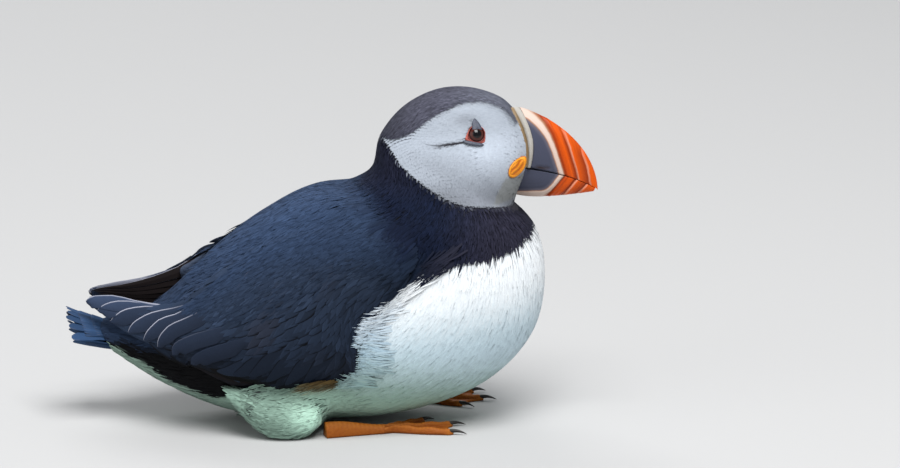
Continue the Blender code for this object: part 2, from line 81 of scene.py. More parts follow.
# name: (top x, top z, bottom x, bottom z, upper and lower edge's least distance from the midplane)
wingSections = {
    "shoulder": (39, 80.5, 39.5, 77.5, 0, 0),
    "wrist": (23, 86, 22.5, 57.5, 0, 0),
    "elbow": (0, 87.5, 11.5, 42.5, 0, 0),
    "forearm": (-21, 82, 8, 28, 0, 0),
    "coverts": (-39, 72, -13, 21, 16, 28),
    "secondaries": (-52, 61.5, -33, 21.5, 21.5, 32),
    "bend": (-62, 54.5, -52, 29.5, 21.5, 28),
    "hand": (-75, 53.5, -70, 36.5, 16, 20.5),
    "longQuills": (-87, 54, -85, 41.5, 9.5, 13),
    "nearTip": (-95.5, 54, -95.5, 47, 6, 7.5),
    "wingTip": (-102, 52.5, -102, 51.5, 4.5, 4.5),
}

def unit(v):  # vectors divided by their lengths
    return v / maximum(np.linalg.norm(v, axis=-1, keepdims=True), 1e-9)

def dot(a, b):  # the sum of the products of two vectors' parts
    return (a * b).sum(-1)

def smooth(x, low, high):  # 0 below low, 1 above high, an S-curve between
    t = held((x - low) / (high - low))
    return t * t * (3 - 2 * t)

def mix(a, b, t):  # a where t is 0, b where it is 1, straight between
    return a + (b - a) * t

def held(x):  # kept between 0 and 1
    return clip(x, 0, 1)

def hump(x, middle, width):  # a bell curve: 1 at its middle, a third at a width from it
    return np.exp(-(((x - middle) / width) ** 2))

def gridOf(a, b):  # two parameters on a grid, the first one changing from row to row
    return np.meshgrid(a, b, indexing="ij")

def around(count):  # so many even angles round a circle
    return arange(count) * 2 * pi / count

def curveThrough(knots, values, at):  # cubic pieces through the rows of values, with centred slopes
    at = clip(at, knots[0], knots[-1])
    slopes = np.gradient(values, knots, axis=0)
    i = clip(np.searchsorted(knots, at, side="right") - 1, 0, len(knots) - 2)
    span = knots[i + 1] - knots[i]
    u = ((at - knots[i]) / span)[..., None]
    span = span[..., None]
    return (
        (2 * u**3 - 3 * u**2 + 1) * values[i]
        + (u**3 - 2 * u**2 + u) * span * slopes[i]
        + (3 * u**2 - 2 * u**3) * values[i + 1]
        + (u**3 - u**2) * span * slopes[i + 1]
    )

def heightOf(table, at):  # the smooth curve through a table of (place, height), read at places
    return curveThrough(table[:, 0], table[:, 1:], at)[..., 0]

def tableOf(sections):  # rows of numbers, and a distance for each from the mean step of its two ends
    rows = array(list(sections.values()))
    steps = np.hypot(*np.diff(rows[:, :2], axis=0).T) + np.hypot(*np.diff(rows[:, 2:4], axis=0).T)
    return rows, join([[0.0], np.cumsum(steps / 2 + 1.0)])

bodyRows, bodyKnots = tableOf(bodySections)
wingRows, wingKnots = tableOf(wingSections)
bodyLength, wingLength = bodyKnots[-1], wingKnots[-1]
sectionAt = dict(zip(bodySections, bodyKnots))
wingAt = dict(zip(wingSections, wingKnots))

def bodyPoint(s, angle, grow=0.0):
    # Top and bottom of the section at s, joined by a half turn of cosine down and a powered sine across.
    s, angle = np.broadcast_arrays(asarray(s, float), asarray(angle, float))
    row = curveThrough(bodyKnots, bodyRows, s)
    top, bottom = row[..., 0:2], row[..., 2:4]
    along = unit(bottom - top)
    grow = asarray(grow, float)[..., None]
    top, bottom = top - grow * along, bottom + grow * along
    down = ((1 - cos(angle)) / 2)[..., None]
    forward = stack([-along[..., 1], along[..., 0]], -1)
    side = top + (bottom - top) * down + forward * row[..., 6:7] * 4 * down * (1 - down)
    wide = abs(sin(angle)) ** row[..., 5] * np.sign(sin(angle)) * (row[..., 4] + grow[..., 0])
    return stack([side[..., 0], -wide, side[..., 1]], -1)

# Side-view maps: cells to a millimetre, how far they reach behind and below the origin, and their size.
sideView = {"fine": 2, "behind": 125, "below": 10, "columns": 500, "rows": 330}

def cellsOf(x, z):  # side-view places counted in the maps' cells
    return (x + sideView["behind"]) * sideView["fine"], (z + sideView["below"]) * sideView["fine"]

def stamped(cells, p, reach):  # the map raised to each point's reach in the cell it falls in
    ix, iz = cellsOf(p[..., 0], p[..., 2])
    ix = clip(ix.astype(int), 0, sideView["columns"] - 1).ravel()
    iz = clip(iz.astype(int), 0, sideView["rows"] - 1).ravel()
    cells = cells.copy()
    np.maximum.at(cells, (ix, iz), reach.ravel())
    return cells

def blurred(cells, times):  # each cell mixed with its neighbours, so many times
    for axis in (0, 1) * times:
        cells = (np.roll(cells, 1, axis) + 2 * cells + np.roll(cells, -1, axis)) / 4
    return cells

def readMap(cells, x, z):  # a map's value, read in straight lines between the middles of its cells
    gx, gz = cellsOf(x, z)
    gx, gz = clip(gx - 0.5, 0, sideView["columns"] - 2), clip(gz - 0.5, 0, sideView["rows"] - 2)
    i, j = gx.astype(int), gz.astype(int)
    u, w = gx - i, gz - j
    low = cells[i, j] * (1 - u) + cells[i + 1, j] * u
    high = cells[i, j + 1] * (1 - u) + cells[i + 1, j + 1] * u
    return low * (1 - w) + high * w

def makeSideMap():  # the body's half width, stamped from a fine grid of its points
    p = bodyPoint(*gridOf(linspace(0, bodyLength, 1500), linspace(0, pi, 500)))
    return blurred(stamped(np.zeros((sideView["columns"], sideView["rows"])), p, -p[..., 1]), 2)

sideMap = makeSideMap()

def sideOfBody(x, z):  # half width of the body at side-view points
    return readMap(sideMap, x, z)

# How much higher the far wing stands, where along it and over how much of it; how the wing eases out to
# its clearance of the body; and its thickness at the edge, with what is added at its middle.
wingForm = {"farLift": 7.5, "farAt": 0.66, "farSpan": 0.16, "ease": 1.8, "clear": 0.9, "edge": 1.1,
            "swell": 3.1}

def wingThick(u, v):  # the folded wing's thickness: an edge, and a swell by a powered sine times a sine
    middle = sin(pi * clip(v, 0.02, 0.98)) ** 0.7
    middle = middle * sin(pi * clip(u / wingLength * 0.9, 0.03, 1))
    return wingForm["edge"] + wingForm["swell"] * middle

def wingPoint(u, v, side, lift=0.0):
    # Outer face of the folded wing: u runs to the tip, v from the upper to the lower edge. It keeps
    # outside the body, or its own least distance, by an eased larger of the two.
    u, v = np.broadcast_arrays(asarray(u, float), asarray(v, float))
    row = curveThrough(wingKnots, wingRows, u)
    x = row[..., 0] + (row[..., 2] - row[..., 0]) * v
    z = row[..., 1] + (row[..., 3] - row[..., 1]) * v
    if side > 0:
        far = hump(u / wingLength, wingForm["farAt"], wingForm["farSpan"])
        z = z + wingForm["farLift"] * far * (1 - 0.4 * v)
    body, least = sideOfBody(x, z), mix(row[..., 4], row[..., 5], v)
    inner = (body + least) / 2 + np.hypot((body - least) / 2, wingForm["ease"]) + wingForm["clear"]
    return stack([x, side * (inner + wingThick(u, v) + lift), z], -1)

# Colours of the markings, which skin and coat share. The face's shade colour, the lower breast, belly and
# vent colours and the crease colour are painted shade, the green of belly and vent a painted reflection from
# below.
plumage = {
    "crown": (0.072, 0.073, 0.1),
    "crownFront": (0.19, 0.205, 0.25),
    "collar": (0.0045, 0.008, 0.022),
    "bib": (0.023, 0.0225, 0.038),
    "mantle": (0.029, 0.05, 0.1),
    "wing": (0.028, 0.045, 0.084),
    "flank": (0.003, 0.003, 0.0035),
    "face": (0.425, 0.47, 0.535),
    "faceShade": (0.2, 0.215, 0.245),
    "chin": (0.23, 0.24, 0.235),
    "crease": (0.05, 0.048, 0.058),
    "breast": (0.86, 0.9, 0.925),
    "breastPaintedShade": (0.56, 0.7, 0.77),
    "belly": (0.25, 0.378, 0.306),
    "vent": (0.23, 0.33, 0.27),
    "stain": (0.42, 0.27, 0.09),
}
plumage = {name: array(colour) for name, colour in plumage.items()}

# Outlines of the markings in side view, as (x, z).
facePatch = array([
    (22, 121.3), (24.1, 119.2), (26.6, 116.2), (29, 112.4), (32.8, 109.2), (36.5, 106.4), (39.6, 104.1),
    (43.4, 101.8), (47.7, 99.2), (51.5, 97.6), (55.2, 96.5), (60.2, 95.5), (66.4, 94.7), (71.4, 94),
    (74.8, 93.6), (90, 93), (90, 128), (77.3, 126.8), (75.1, 129.8), (72.6, 132.3), (70.1, 134),
    (66.4, 135.5), (62.7, 136.4), (57.7, 136.4), (53.9, 135.9), (50.2, 134.3), (45.9, 132.8), (41.5, 130.1),
    (37.8, 127.3), (34.7, 125), (30.3, 122.8), (26.6, 121.6),
])
whitePatch = array([
    (86.2, 88.5), (82, 82.6), (78.2, 80.4), (72.6, 78.1), (66.5, 76.8), (57, 75.8), (49, 75.4),
    (43.6, 75.8), (38.9, 72.4), (34.7, 68.6), (29.4, 62.6), (25.7, 58.2), (21.2, 54.7), (13.3, 48.3),
    (11.2, 41.5), (12.4, 32.5), (9.5, 27.8), (-8, 22), (-30, 19.5), (-36.5, 15.7), (-42.1, 13.7),
    (-51.5, 15.7), (-61.5, 18.5), (-71.8, 26), (-79.3, 28.1), (-85.6, 30.8), (-89.3, 34.6), (-104, 33),
    (-110, -30), (140, -30), (140, 88.5),
])
crease = array([
    (38, 121.4), (40.2, 120.9), (42.3, 120.5), (45.1, 120.4), (48.6, 120.8), (52.1, 121.3), (56.5, 122.2),
])

def insideBy(x, z, outline):  # distance to a closed outline's nearest edge: positive inside it
    best = np.full(np.shape(x), 1e9)
    crossings = np.zeros(np.shape(x), int)
    for (ax, az), (bx, bz) in zip(outline, np.roll(outline, -1, axis=0)):
        dx, dz = bx - ax, bz - az
        t = held(((x - ax) * dx + (z - az) * dz) / (dx * dx + dz * dz))
        best = np.minimum(best, np.hypot(x - ax - t * dx, z - az - t * dz))
        spans = (az > z) != (bz > z)
        crossings += spans & (x < ax + dx * (z - az) / (dz if dz else 1e-9))
    return np.where(crossings % 2 == 1, best, -best)

def wave(p, size, seed):  # a soft mottling between -1 and 1, from a few sine waves in different directions
    rng = seeded(seed)
    total = 0.0
    for _ in range(4):
        d = unit(rng.normal(size=3))
        total = total + sin(dot(p, d) * 2 * pi / size * rng.uniform(0.7, 1.5) + rng.uniform(0, 6.3))
    return total / 4

def topLight(x, z):  # painted light from above: dark feathers are palest along the back, darkest low and at the breast
    return interp(z - 0.5 * (x + 10), (25, 50, 62, 74, 84, 95), (0.26, 0.42, 0.48, 0.68, 0.78, 1.12))

def wingColour(x, z):  # the wing's own blue-black in that light
    return plumage["wing"] * topLight(x, z)[..., None]

def layer(base, name, share):  # a marking's colour laid over another by a share at each place
    return mix(base, plumage[name], asarray(share)[..., None])

def scaled(colour, by):  # a colour made brighter or darker by a factor at each place
    return colour * asarray(by)[..., None]

def creaseMask(x, z):  # where painted shadow lies in the fold that runs back from the eye: 1 along it, thinning toward its far end
    return hump(z, heightOf(crease, x), 0.4) * smooth(x, 38.5, 50) * smooth(57.0 - x, 0, 1.5)

def darkColour(p):  # mantle, collar, bib, flank and crown, laid over one another in that order; the mantle carries painted light from above
    x, z = p[..., 0], p[..., 2]
    toCollar = smooth(z - 122 + 0.25 * (x - 24), -4, 4)  # crown above, collar below
    toMantle = smooth((x + z - 118) * 0.707 - 1.2 * wave(p, 26, 3), -5, 5)  # collar ahead, mantle behind
    c = layer(scaled(plumage["mantle"], topLight(x, z)), "collar", toMantle)
    c = layer(c, "bib", toMantle * maximum(smooth(x, 42, 74), 0.5 * smooth(z, 98, 116)))
    c = layer(c, "flank", smooth(38 - z, 0, 6) * smooth(-x, 20, 34))
    crown = layer(plumage["crown"], "crownFront", 0.45 * smooth(x, 46, 74))
    crown = scaled(crown, mix(0.68, 1.0, smooth(x, 24, 42)))
    return mix(c, crown, (toCollar * smooth(z, 96, 108) * smooth(x, 4, 12))[..., None])

def breastColour(p):  # white above, greener and darker toward belly and vent as painted shade with a painted green reflection, lifted by painted bounce light on the low belly, with a stain by the wing
    x, y, z = p[..., 0], abs(p[..., 1]), p[..., 2]
    # painted shade: bluish on the lower breast, then greener toward the belly, the green a painted
    # reflection from below
    c = layer(plumage["breast"], "breastPaintedShade", smooth(72 - z + 0.15 * (x - 50), 0, 30))
    c = layer(c, "belly", smooth(52 - z - 0.1 * x, 0, 34))
    # underside is painted bounce light from below, brightening the low belly
    underside = (0.2 + 0.9 * smooth(20 - x, 0, 24) * smooth(x, -22, -8)) * smooth(26 - z, 0, 12)
    c = scaled(c, 1 + underside * smooth(x, -60, -30))
    c = scaled(c, mix(0.72, 1.0, smooth(x, -62, -40)))
    c = layer(c, "vent", smooth(-x, 20, 45))
    return layer(c, "stain", 0.8 * hump(x, -3, 8) * hump(z, 23.8, 2.6) * smooth(y, 20, 30))

def faceColour(p):  # grey-white, with painted shade low, in the hollow behind the eye, under the brow and over the upper face, a painted highlight on the cheek, a grey chin and a painted shadow along the crease
    x, z = p[..., 0], p[..., 2]
    c = layer(plumage["face"], "faceShade", 0.85 * smooth(113 - z, 0, 15))
    # painted shade in the hollow behind the eye and under the brow
    hollowShade = hump(x, 45, 15) * hump(z + 0.25 * (x - 45), 112, 5.5)
    brow = hump(x, 57.5, 4.5) * hump(z, 130.5, 2.2)
    c = layer(c, "faceShade", 0.35 * hollowShade + 0.45 * brow)
    # a painted highlight on the cheek
    c = scaled(c, 1 + 0.22 * hump(x, 67, 10) * hump(z, 117, 6))
    # painted shade over the upper face and low toward the back
    paintedShadeDim = 0.2 * smooth(z, 120, 129) + 0.22 * smooth(110 - z, 0, 8) * smooth(62 - x, 0, 14)
    c = scaled(c, 1 - paintedShadeDim)
    bare = smooth(107.0 - z, 0, 2) * smooth(z, 95.6, 97.2)
    bare = bare * smooth(x - 72.9 - 0.605 * (z - 104.7), -0.7, 0.7)
    return layer(layer(c, "chin", 0.85 * bare), "crease", 0.85 * creaseMask(x, z))

def markingsAndPaintedLight(p, ragged=0.0):
    # Base colour at points, with the painted light and shade that the dark, breast and face colours carry:
    # the dark parts, the white breast over them and the face over both. Ragged shifts a place across the
    # outlines.
    x, z = p[..., 0], p[..., 2]
    white = smooth(insideBy(x, z, whitePatch) + 1.6 * ragged, -0.5, 0.5)[..., None]
    face = smooth(insideBy(x, z, facePatch) + ragged, -0.5, 0.5)[..., None]
    return mix(mix(darkColour(p), breastColour(p), white), faceColour(p), face)

def linked(name, data):  # an object of the data, put into the scene
    obj = bpy.data.objects.new(name, data)
    bpy.context.scene.collection.objects.link(obj)
    return obj

def writeMark(mesh, label, values):  # a number for each point, or a colour where a point has three
    values = asarray(values, float)
    if values.ndim == 1:
        mark = mesh.attributes.new(label, "FLOAT", "POINT")
        mark.data.foreach_set("value", values.astype(np.float32))
        return
    mark = mesh.attributes.new(label, "FLOAT_COLOR", "POINT")
    full = join([values, np.ones((len(values), 1))], -1)
    mark.data.foreach_set("color", full.astype(np.float32).ravel())

def readPoints(values, label, count):  # so many points or normals read out of a mesh
    out = np.empty(count * 3, np.float32)
    values.foreach_get(label, out)
    return out.reshape(-1, 3)

def makePiece(name, points, quads, tris=None, marks=None, maps=None, lean=None, soft=0.0):
    # points (n, 3) in millimetres, faces as index arrays, named numbers or colours, and named maps.
    # soft is how far each point's shading normal is turned toward lean, its place's own outward direction.
    mesh = bpy.data.meshes.new(name)
    tris = np.zeros((0, 3), int) if tris is None else tris
    corners = join([quads.ravel(), tris.ravel()]).astype(np.int32)
    starts = join([arange(len(quads)) * 4, len(quads) * 4 + arange(len(tris)) * 3])
    mesh.vertices.add(len(points))
    mesh.vertices.foreach_set("co", (asarray(points, float) * mm).astype(np.float32).ravel())
    mesh.loops.add(len(corners))
    mesh.loops.foreach_set("vertex_index", corners)
    mesh.polygons.add(len(starts))
    mesh.polygons.foreach_set("loop_start", starts.astype(np.int32))
    mesh.update(calc_edges=True)
    for label, values in (marks or {}).items():
        writeMark(mesh, label, values)
    for label, uv in (maps or {}).items():
        mesh.uv_layers.new(name=label).uv.foreach_set("vector", uv[corners].astype(np.float32).ravel())
    mesh.validate()
    mesh.shade_smooth()
    if soft > 0:
        own = readPoints(mesh.vertex_normals, "vector", len(points))
        mesh.normals_split_custom_set_from_vertices(unit(own * (1 - soft) + lean * soft))
    piece = linked(name, mesh)
    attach(piece, "root")
    return piece

def finish(piece, material, slot, *nodes):  # a piece's material, and the nodes it stands in for; slot is not used
    piece.data.materials.append(material)
    if nodes:
        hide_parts(*nodes)
    print(piece.name, len(piece.data.polygons), "faces")

def gridQuads(rows, columns, wrap=False):  # faces of a grid of points, closed round each row if wrapped
    index = arange(rows * columns).reshape(rows, columns)
    after = np.roll(index, -1, axis=1) if wrap else index[:, 1:]
    here = index if wrap else index[:, :-1]
    return stack([here[:-1], after[:-1], after[1:], here[1:]], -1).reshape(-1, 4)

def tubeOf(rings):  # points and faces of rings (rows, columns, 3), with a middle point closing each end
    rows, columns = rings.shape[:2]
    r = arange(columns)
    after, last, total = (r + 1) % columns, (rows - 1) * columns, rows * columns
    points = join([rings.reshape(-1, 3), [rings[0].mean(0), rings[-1].mean(0)]])
    caps = [(after, r, 0 * r + total), (last + r, last + after, 0 * r + total + 1)]
    return points, gridQuads(rows, columns, True), join([stack(cap, -1) for cap in caps])

def shellOf(outer, inner):  # points and faces of a closed sheet between two grids of points
    rows, columns = outer.shape[:2]
    total = rows * columns
    index = arange(total).reshape(rows, columns)
    edge = join([index[0, :-1], index[:-1, -1], index[-1, :0:-1], index[:0:-1, 0]])
    after = np.roll(edge, -1)
    quads = gridQuads(rows, columns)
    walls = stack([edge, edge + total, after + total, after], -1)
    points = join([outer.reshape(-1, 3), inner.reshape(-1, 3)])
    return points, join([quads, quads[:, ::-1] + total, walls])

def closedLoft(name, dress, rings, marks=None, turned=False):  # a tube as a piece, turned where inside out
    points, quads, caps = tubeOf(rings)
    turn = -1 if turned else 1
    values = {k: join([m.ravel(), [m[0].mean(), m[-1].mean()]]) for k, m in (marks or {}).items()}
    finish(makePiece(name, points, quads[:, ::turn], caps[:, ::turn], values), *dress)

def slab(name, dress, outer, inner, marks=None, turned=False):  # a sheet, marked alike on both faces
    points, faces = shellOf(outer, inner)
    values = {k: join([m.ravel(), m.ravel()]) for k, m in (marks or {}).items()}
    finish(makePiece(name, points, faces[:, :: -1 if turned else 1], marks=values), *dress)

def tuftFaces(stations, ring):  # faces of one tuft: rings of points, a tip point and a closed root
    r = arange(ring)
    after = (r + 1) % ring
    base = (arange(stations - 2) * ring)[:, None]
    quads = stack([base + r, base + after, base + ring + after, base + ring + r], -1).reshape(-1, 4)
    last, tip = (stations - 2) * ring, (stations - 1) * ring
    ends = [stack([last + r, last + after, np.full(ring, tip)], -1)]
    ends.append(stack([np.zeros(ring - 2, int), r[2:], r[1:-1]], -1))
    return quads, join(ends)

def tuftPiece(name, dress, mid, up, halfWidth, thick, ring, tint, place, soft, droop=0.0, ahead=None):
    # Closed tufts: a flattened ring is carried along each midline and drawn in to a tip.
    # mid, up (n, k, 3); halfWidth (n, k); thick, a number or one for each station; ring (r, 2) in half
    # widths and thicknesses; tint (n, k, 3), or (n, k, r, 3) where it changes across the tuft too.
    # Droop bends the ring's sides down by the square of the distance from its middle. dress is a
    # piece's material, its slot and the nodes it stands in for.
    n, k = mid.shape[:2]
    ring = asarray(ring, float)
    r = len(ring)
    ahead = unit(np.gradient(mid, axis=1) if ahead is None else ahead)
    across = unit(np.cross(ahead, up))
    above = np.cross(across, ahead)
    body = slice(0, k - 1)
    half = halfWidth[:, body, None, None]
    wide = half * ring[:, 0][:, None]
    high = (thick * np.ones((n, k)))[:, body, None, None] * ring[:, 1][:, None]
    high = high - droop * wide**2 / maximum(half, 1e-3)
    rings = mid[:, body, None] + across[:, body, None] * wide + above[:, body, None] * high
    points = join([rings.reshape(n, -1, 3), mid[:, -1:]], 1)
    along = linspace(0, 1, k)
    patchU = join([np.tile(ring[:, 0] * 0.5, k - 1), [0.0]])
    patchV = join([np.repeat(along[body], r) - 0.5 + np.tile(ring[:, 1] * 0.12, k - 1), [0.5]])
    bake = clip(place[:, None] + 0.003 * stack([patchU, patchV], -1), 0.0, 1.0)
    reach = np.linalg.norm(np.diff(mid, axis=1), axis=-1).sum(1)
    lieU = join([(halfWidth[:, body, None] * ring[:, 0]).reshape(n, -1), np.zeros((n, 1))], 1)
    lieV = reach[:, None] * join([np.repeat(along[body], r), [1.0]])
    if tint.ndim == 3:
        tint = np.repeat(tint[:, :, None], r, axis=2)
    shade = join([tint[:, body].reshape(n, -1, 3), tint[:, -1].mean(1, keepdims=True)], 1)
    lean = join([np.repeat(up[:, body], r, axis=1), up[:, -1:]], 1)
    quads, tris = tuftFaces(k, r)
    step = (arange(n) * ((k - 1) * r + 1))[:, None, None]
    maps = {"OFBake": bake.reshape(-1, 2), "lie": stack([lieU, lieV], -1).reshape(-1, 2)}
    quads, tris = (quads + step).reshape(-1, 4), (tris + step).reshape(-1, 3)
    finish(makePiece(name, points.reshape(-1, 3), quads, tris, {"tint": shade.reshape(-1, 3)}, maps,
                     lean.reshape(-1, 3), soft), *dress)

def frameOn(surface, a, b, da, db):  # a surface's point, its two slopes by centred steps, and its normal
    p = surface(a, b)
    ja = (surface(a + da, b) - surface(a - da, b)) / (2 * da)
    jb = (surface(a, b + db) - surface(a, b - db)) / (2 * db)
    return p, ja, jb, unit(np.cross(ja, jb))

def stepOver(ja, jb, move):  # parameter steps whose surface move is nearest to the wanted one
    aa, ab, bb = dot(ja, ja), dot(ja, jb), dot(jb, jb)
    ma, mb = dot(ja, move), dot(jb, move)
    det = maximum(aa * bb - ab * ab, 1e-9)
    return (bb * ma - ab * mb) / det, (aa * mb - ab * ma) / det

def square(v, axis):  # the part of a vector that is square to an axis, made one long
    return unit(v - dot(v, axis)[..., None] * axis)

def walkOver(axesAt, a, b, turn, steps, most, hold=None):
    # Midlines over a surface: at each station a step, turned by the angle turn from ahead toward aside,
    # becomes the nearest change of the surface's two measures, each limited. axesAt gives the point, the
    # two slopes, the normal, ahead and aside; hold keeps the second measure in its range.
    points, normals = [], []
    for step in steps:
        p, ja, jb, normal, ahead, aside = axesAt(a, b)
        points.append(p)
        normals.append(normal)
        move = (ahead * cos(turn)[..., None] + aside * sin(turn)[..., None]) * step[..., None]
        da, db = stepOver(ja, jb, move)
        a, b = a + clip(da, -most[0], most[0]), b + clip(db, -most[1], most[1])
        b = hold(a, b) if hold else b
    return stack(points, 1), stack(normals, 1)

def bodyFrame(s, angle):  # on the body, ahead is tailward and aside is down
    p, js, ja, n = frameOn(bodyPoint, clip(s, 0.5, bodyLength - 0.5), angle, 0.4, 0.004)
    back = unit(js)
    return p, js, ja, n, back, square(ja, back) * np.sign(sin(angle))[..., None]

def scatterBody(density, keep):
    # Evenly spread roots, so many to a square millimetre: an even two-number sequence is turned into
    # places by the share of area.
    s = linspace(0.05, bodyLength - 0.5, 300)
    a = linspace(0, 2 * pi, 241)
    p = bodyPoint(s[:, None], a[None])
    cell = np.linalg.norm(np.cross(p[1:, :-1] - p[:-1, :-1], p[:-1, 1:] - p[:-1, :-1]), axis=-1)
    rows = join([[0], np.cumsum(cell.sum(1))])
    i = arange(int(density * rows[-1]))
    plastic = 1.32471795724474602596  # the number whose first two powers spread a sequence most evenly
    u1, u2 = (0.5 + i / plastic) % 1, (0.5 + i / plastic**2) % 1
    sAt = interp(u1 * rows[-1], rows, s)
    row = clip(np.searchsorted(s, sAt) - 1, 0, len(cell) - 1)
    share = np.cumsum(cell, axis=1) / cell.sum(1, keepdims=True)
    flat = (share + arange(len(cell))[:, None]).ravel()
    col = clip(np.searchsorted(flat, row + u2) - row * cell.shape[1], 0, cell.shape[1] - 1)
    before = np.where(col > 0, share[row, maximum(col - 1, 0)], 0)
    within = held((u2 - before) / maximum(share[row, col] - before, 1e-9))
    aAt = a[col] + within * (a[1] - a[0])
    chosen = keep(bodyPoint(sAt, aAt), sAt)
    return sAt[chosen], aAt[chosen]

def evenSpread(count, low, high):  # places spread evenly over a rectangle
    i = arange(count)
    a, b = (0.5 + i * 0.7548776662) % 1, (0.5 + i * 0.5698402909) % 1
    return mix(low[0], high[0], a), mix(low[1], high[1], b)

def unwrapPlace(a, b):  # each root's place on a map of its own coordinates, filling the square
    place = stack([a, b], -1).astype(float)
    low, high = place.min(0), place.max(0)
    return 0.01 + 0.98 * (place - low) / (high - low)

def uneven(rng, count, by):  # a factor for each of so many feathers, spread about 1
    return 1 + by * rng.normal(0, 1, (count, 1))

studio = {
    "target": (0.0498, 0.0, 0.0784), "elevation": 13.0, "distance": 2.2, "lens": 212.0, "sensor": 36.0,
    "floorColour": (0.46, 0.46, 0.46), "floorReach": 6.0, "floorBelow": 2e-4,
    "sky": 0.36, "skyColour": (0.93, 0.96, 1.0), "lampTarget": (0.0, 0.0, 0.07),
    "lamps": {  # power, size and place
        "key": (78.0, 1.4, (0.25, -1.05, 2.1)),
        "fill": (9.0, 1.6, (-1.6, -1.3, 0.8)),
        "rim": (16.0, 1.2, (-0.5, 1.5, 1.5)),
    },
}

def newMaterial(name):  # an empty material, its nodes and its shader
    material = bpy.data.materials.new(name)
    material.use_nodes = True
    return material, material.node_tree, material.node_tree.nodes["Principled BSDF"]

def feed(tree, node, inputs):  # a node's inputs joined to other sockets, or set to numbers or colours
    for label, value in inputs.items():
        if isinstance(value, bpy.types.NodeSocket):
            tree.links.new(value, node.inputs[label])
        else:
            node.inputs[label].default_value = (*value, 1) if isinstance(value, tuple) else value

def makeStudio():
    # A camera looking down at its target, a wide floor, and lamps turned to face the model.
    e = math.radians(studio["elevation"])
    data = bpy.data.cameras.new("camera")
    data.lens, data.sensor_width, data.clip_start = studio["lens"], studio["sensor"], 0.05
    camera = linked("camera", data)
    away = studio["distance"] * array([0.0, -math.cos(e), math.sin(e)])
    camera.location = array(studio["target"]) + away
    camera.rotation_euler = (pi / 2 - e, 0.0, 0.0)
    bpy.context.scene.camera = camera

    material, tree, shader = newMaterial("floor")
    feed(tree, shader, {"Base Color": studio["floorColour"], "Roughness": 0.9})
    mesh = bpy.data.meshes.new("floor")
    reach, below = studio["floorReach"], -studio["floorBelow"]
    mesh.from_pydata([(x * reach, y * reach, below) for x, y in ((-1, -1), (1, -1), (1, 1), (-1, 1))],
                     [], [(0, 1, 2, 3)])
    mesh.materials.append(material)
    linked("floor", mesh)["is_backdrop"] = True

    for name, (power, size, place) in studio["lamps"].items():
        light = bpy.data.lights.new(name, "AREA")
        light.energy, light.size = power, size
        lamp = linked(name, light)
        away = unit(array(place) - array(studio["lampTarget"]))
        lamp.location = place
        lamp.rotation_euler = (math.acos(away[2]), 0.0, math.atan2(away[1], away[0]) + pi / 2)
    world = bpy.data.worlds.new("sky")
    world.use_nodes = True
    background = world.node_tree.nodes["Background"]
    feed(world.node_tree, background, {"Color": studio["skyColour"], "Strength": studio["sky"]})
    bpy.context.scene.world = world
    bpy.context.scene.view_settings.view_transform = "Standard"

makeStudio()
print("studio ready")

def newGroup(name, ins, outs):  # a shared effect; an input without a number is a vector, outputs are numbers
    tree = bpy.data.node_groups.new(name, "ShaderNodeTree")
    for label, value in ins.items():
        kind = "NodeSocketVector" if value is None else "NodeSocketFloat"
        socket = tree.interface.new_socket(label, in_out="INPUT", socket_type=kind)
        if value is not None:
            socket.default_value = value
    for label in outs:
        tree.interface.new_socket(label, in_out="OUTPUT", socket_type="NodeSocketFloat")
    return tree, tree.nodes.new("NodeGroupInput").outputs, tree.nodes.new("NodeGroupOutput")

def addNode(tree, kind, inputs=None, **settings):  # a node's outputs, its settings and inputs filled in
    node = tree.nodes.new("ShaderNode" + kind)
    for label, value in settings.items():
        setattr(node, label, value)
    feed(tree, node, inputs or {})
    return node.outputs

def sums(tree, kind, *values):  # a math node over sockets or numbers
    return addNode(tree, "Math", dict(enumerate(values)), operation=kind)[0]

def markOf(tree, label):  # a piece's own named number or colour
    return addNode(tree, "Attribute", attribute_name=label)

def objectPlace(tree):  # places on the piece itself
    return addNode(tree, "TexCoord")["Object"]

def placed(tree, group, inputs):  # a shared effect put into a material with its own values
    return addNode(tree, "Group", inputs, node_tree=group)

def roughen(tree, shader, height, strength, distance):  # bump from a height over the surface
    bump = addNode(tree, "Bump", {"Height": height, "Strength": strength, "Distance": distance})
    feed(tree, shader, {"Normal": bump["Normal"]})

def rampOver(tree, value, stops):  # a colour ramp over a socket, from (place, colour) stops
    node = tree.nodes.new("ShaderNodeValToRGB")
    ramp = node.color_ramp
    for i, (place, colour) in enumerate(stops):
        stop = ramp.elements[i] if i < 2 else ramp.elements.new(place)
        stop.position, stop.color = place, (*colour, 1)
    feed(tree, node, {"Fac": value})
    return node.outputs["Color"]

def makeBarbs():
    # Barbs leave the shaft at a slant on both sides: a sine of the distance along less a share of the
    # distance across, broken up by noise. Puts out a height and a mask.
    tree, given, out = newGroup(
        "featherBarbs", {"Lie": None, "PerMillimetre": 3.0, "Slant": 1.2, "Break": 0.5}, ("Height", "Mask"))
    lie = addNode(tree, "SeparateXYZ", {0: given["Lie"]})
    away = sums(tree, "ABSOLUTE", lie["X"])
    along = sums(tree, "MULTIPLY_ADD", away, sums(tree, "MULTIPLY", given["Slant"], -1.0), lie["Y"])
    noise = addNode(tree, "TexNoise", {"Scale": 900.0, "Detail": 3.0, "Vector": objectPlace(tree)})["Fac"]
    broken = sums(tree, "MULTIPLY", noise, given["Break"])
    turns = sums(tree, "MULTIPLY_ADD", along, given["PerMillimetre"], broken)
    sine = sums(tree, "SINE", sums(tree, "MULTIPLY", turns, 2 * pi))
    height = sums(tree, "MULTIPLY_ADD", sine, 0.5, 0.5)
    feed(tree, out, {"Height": height, "Mask": sums(tree, "MULTIPLY", height, noise)})
    return tree

barbs = makeBarbs()

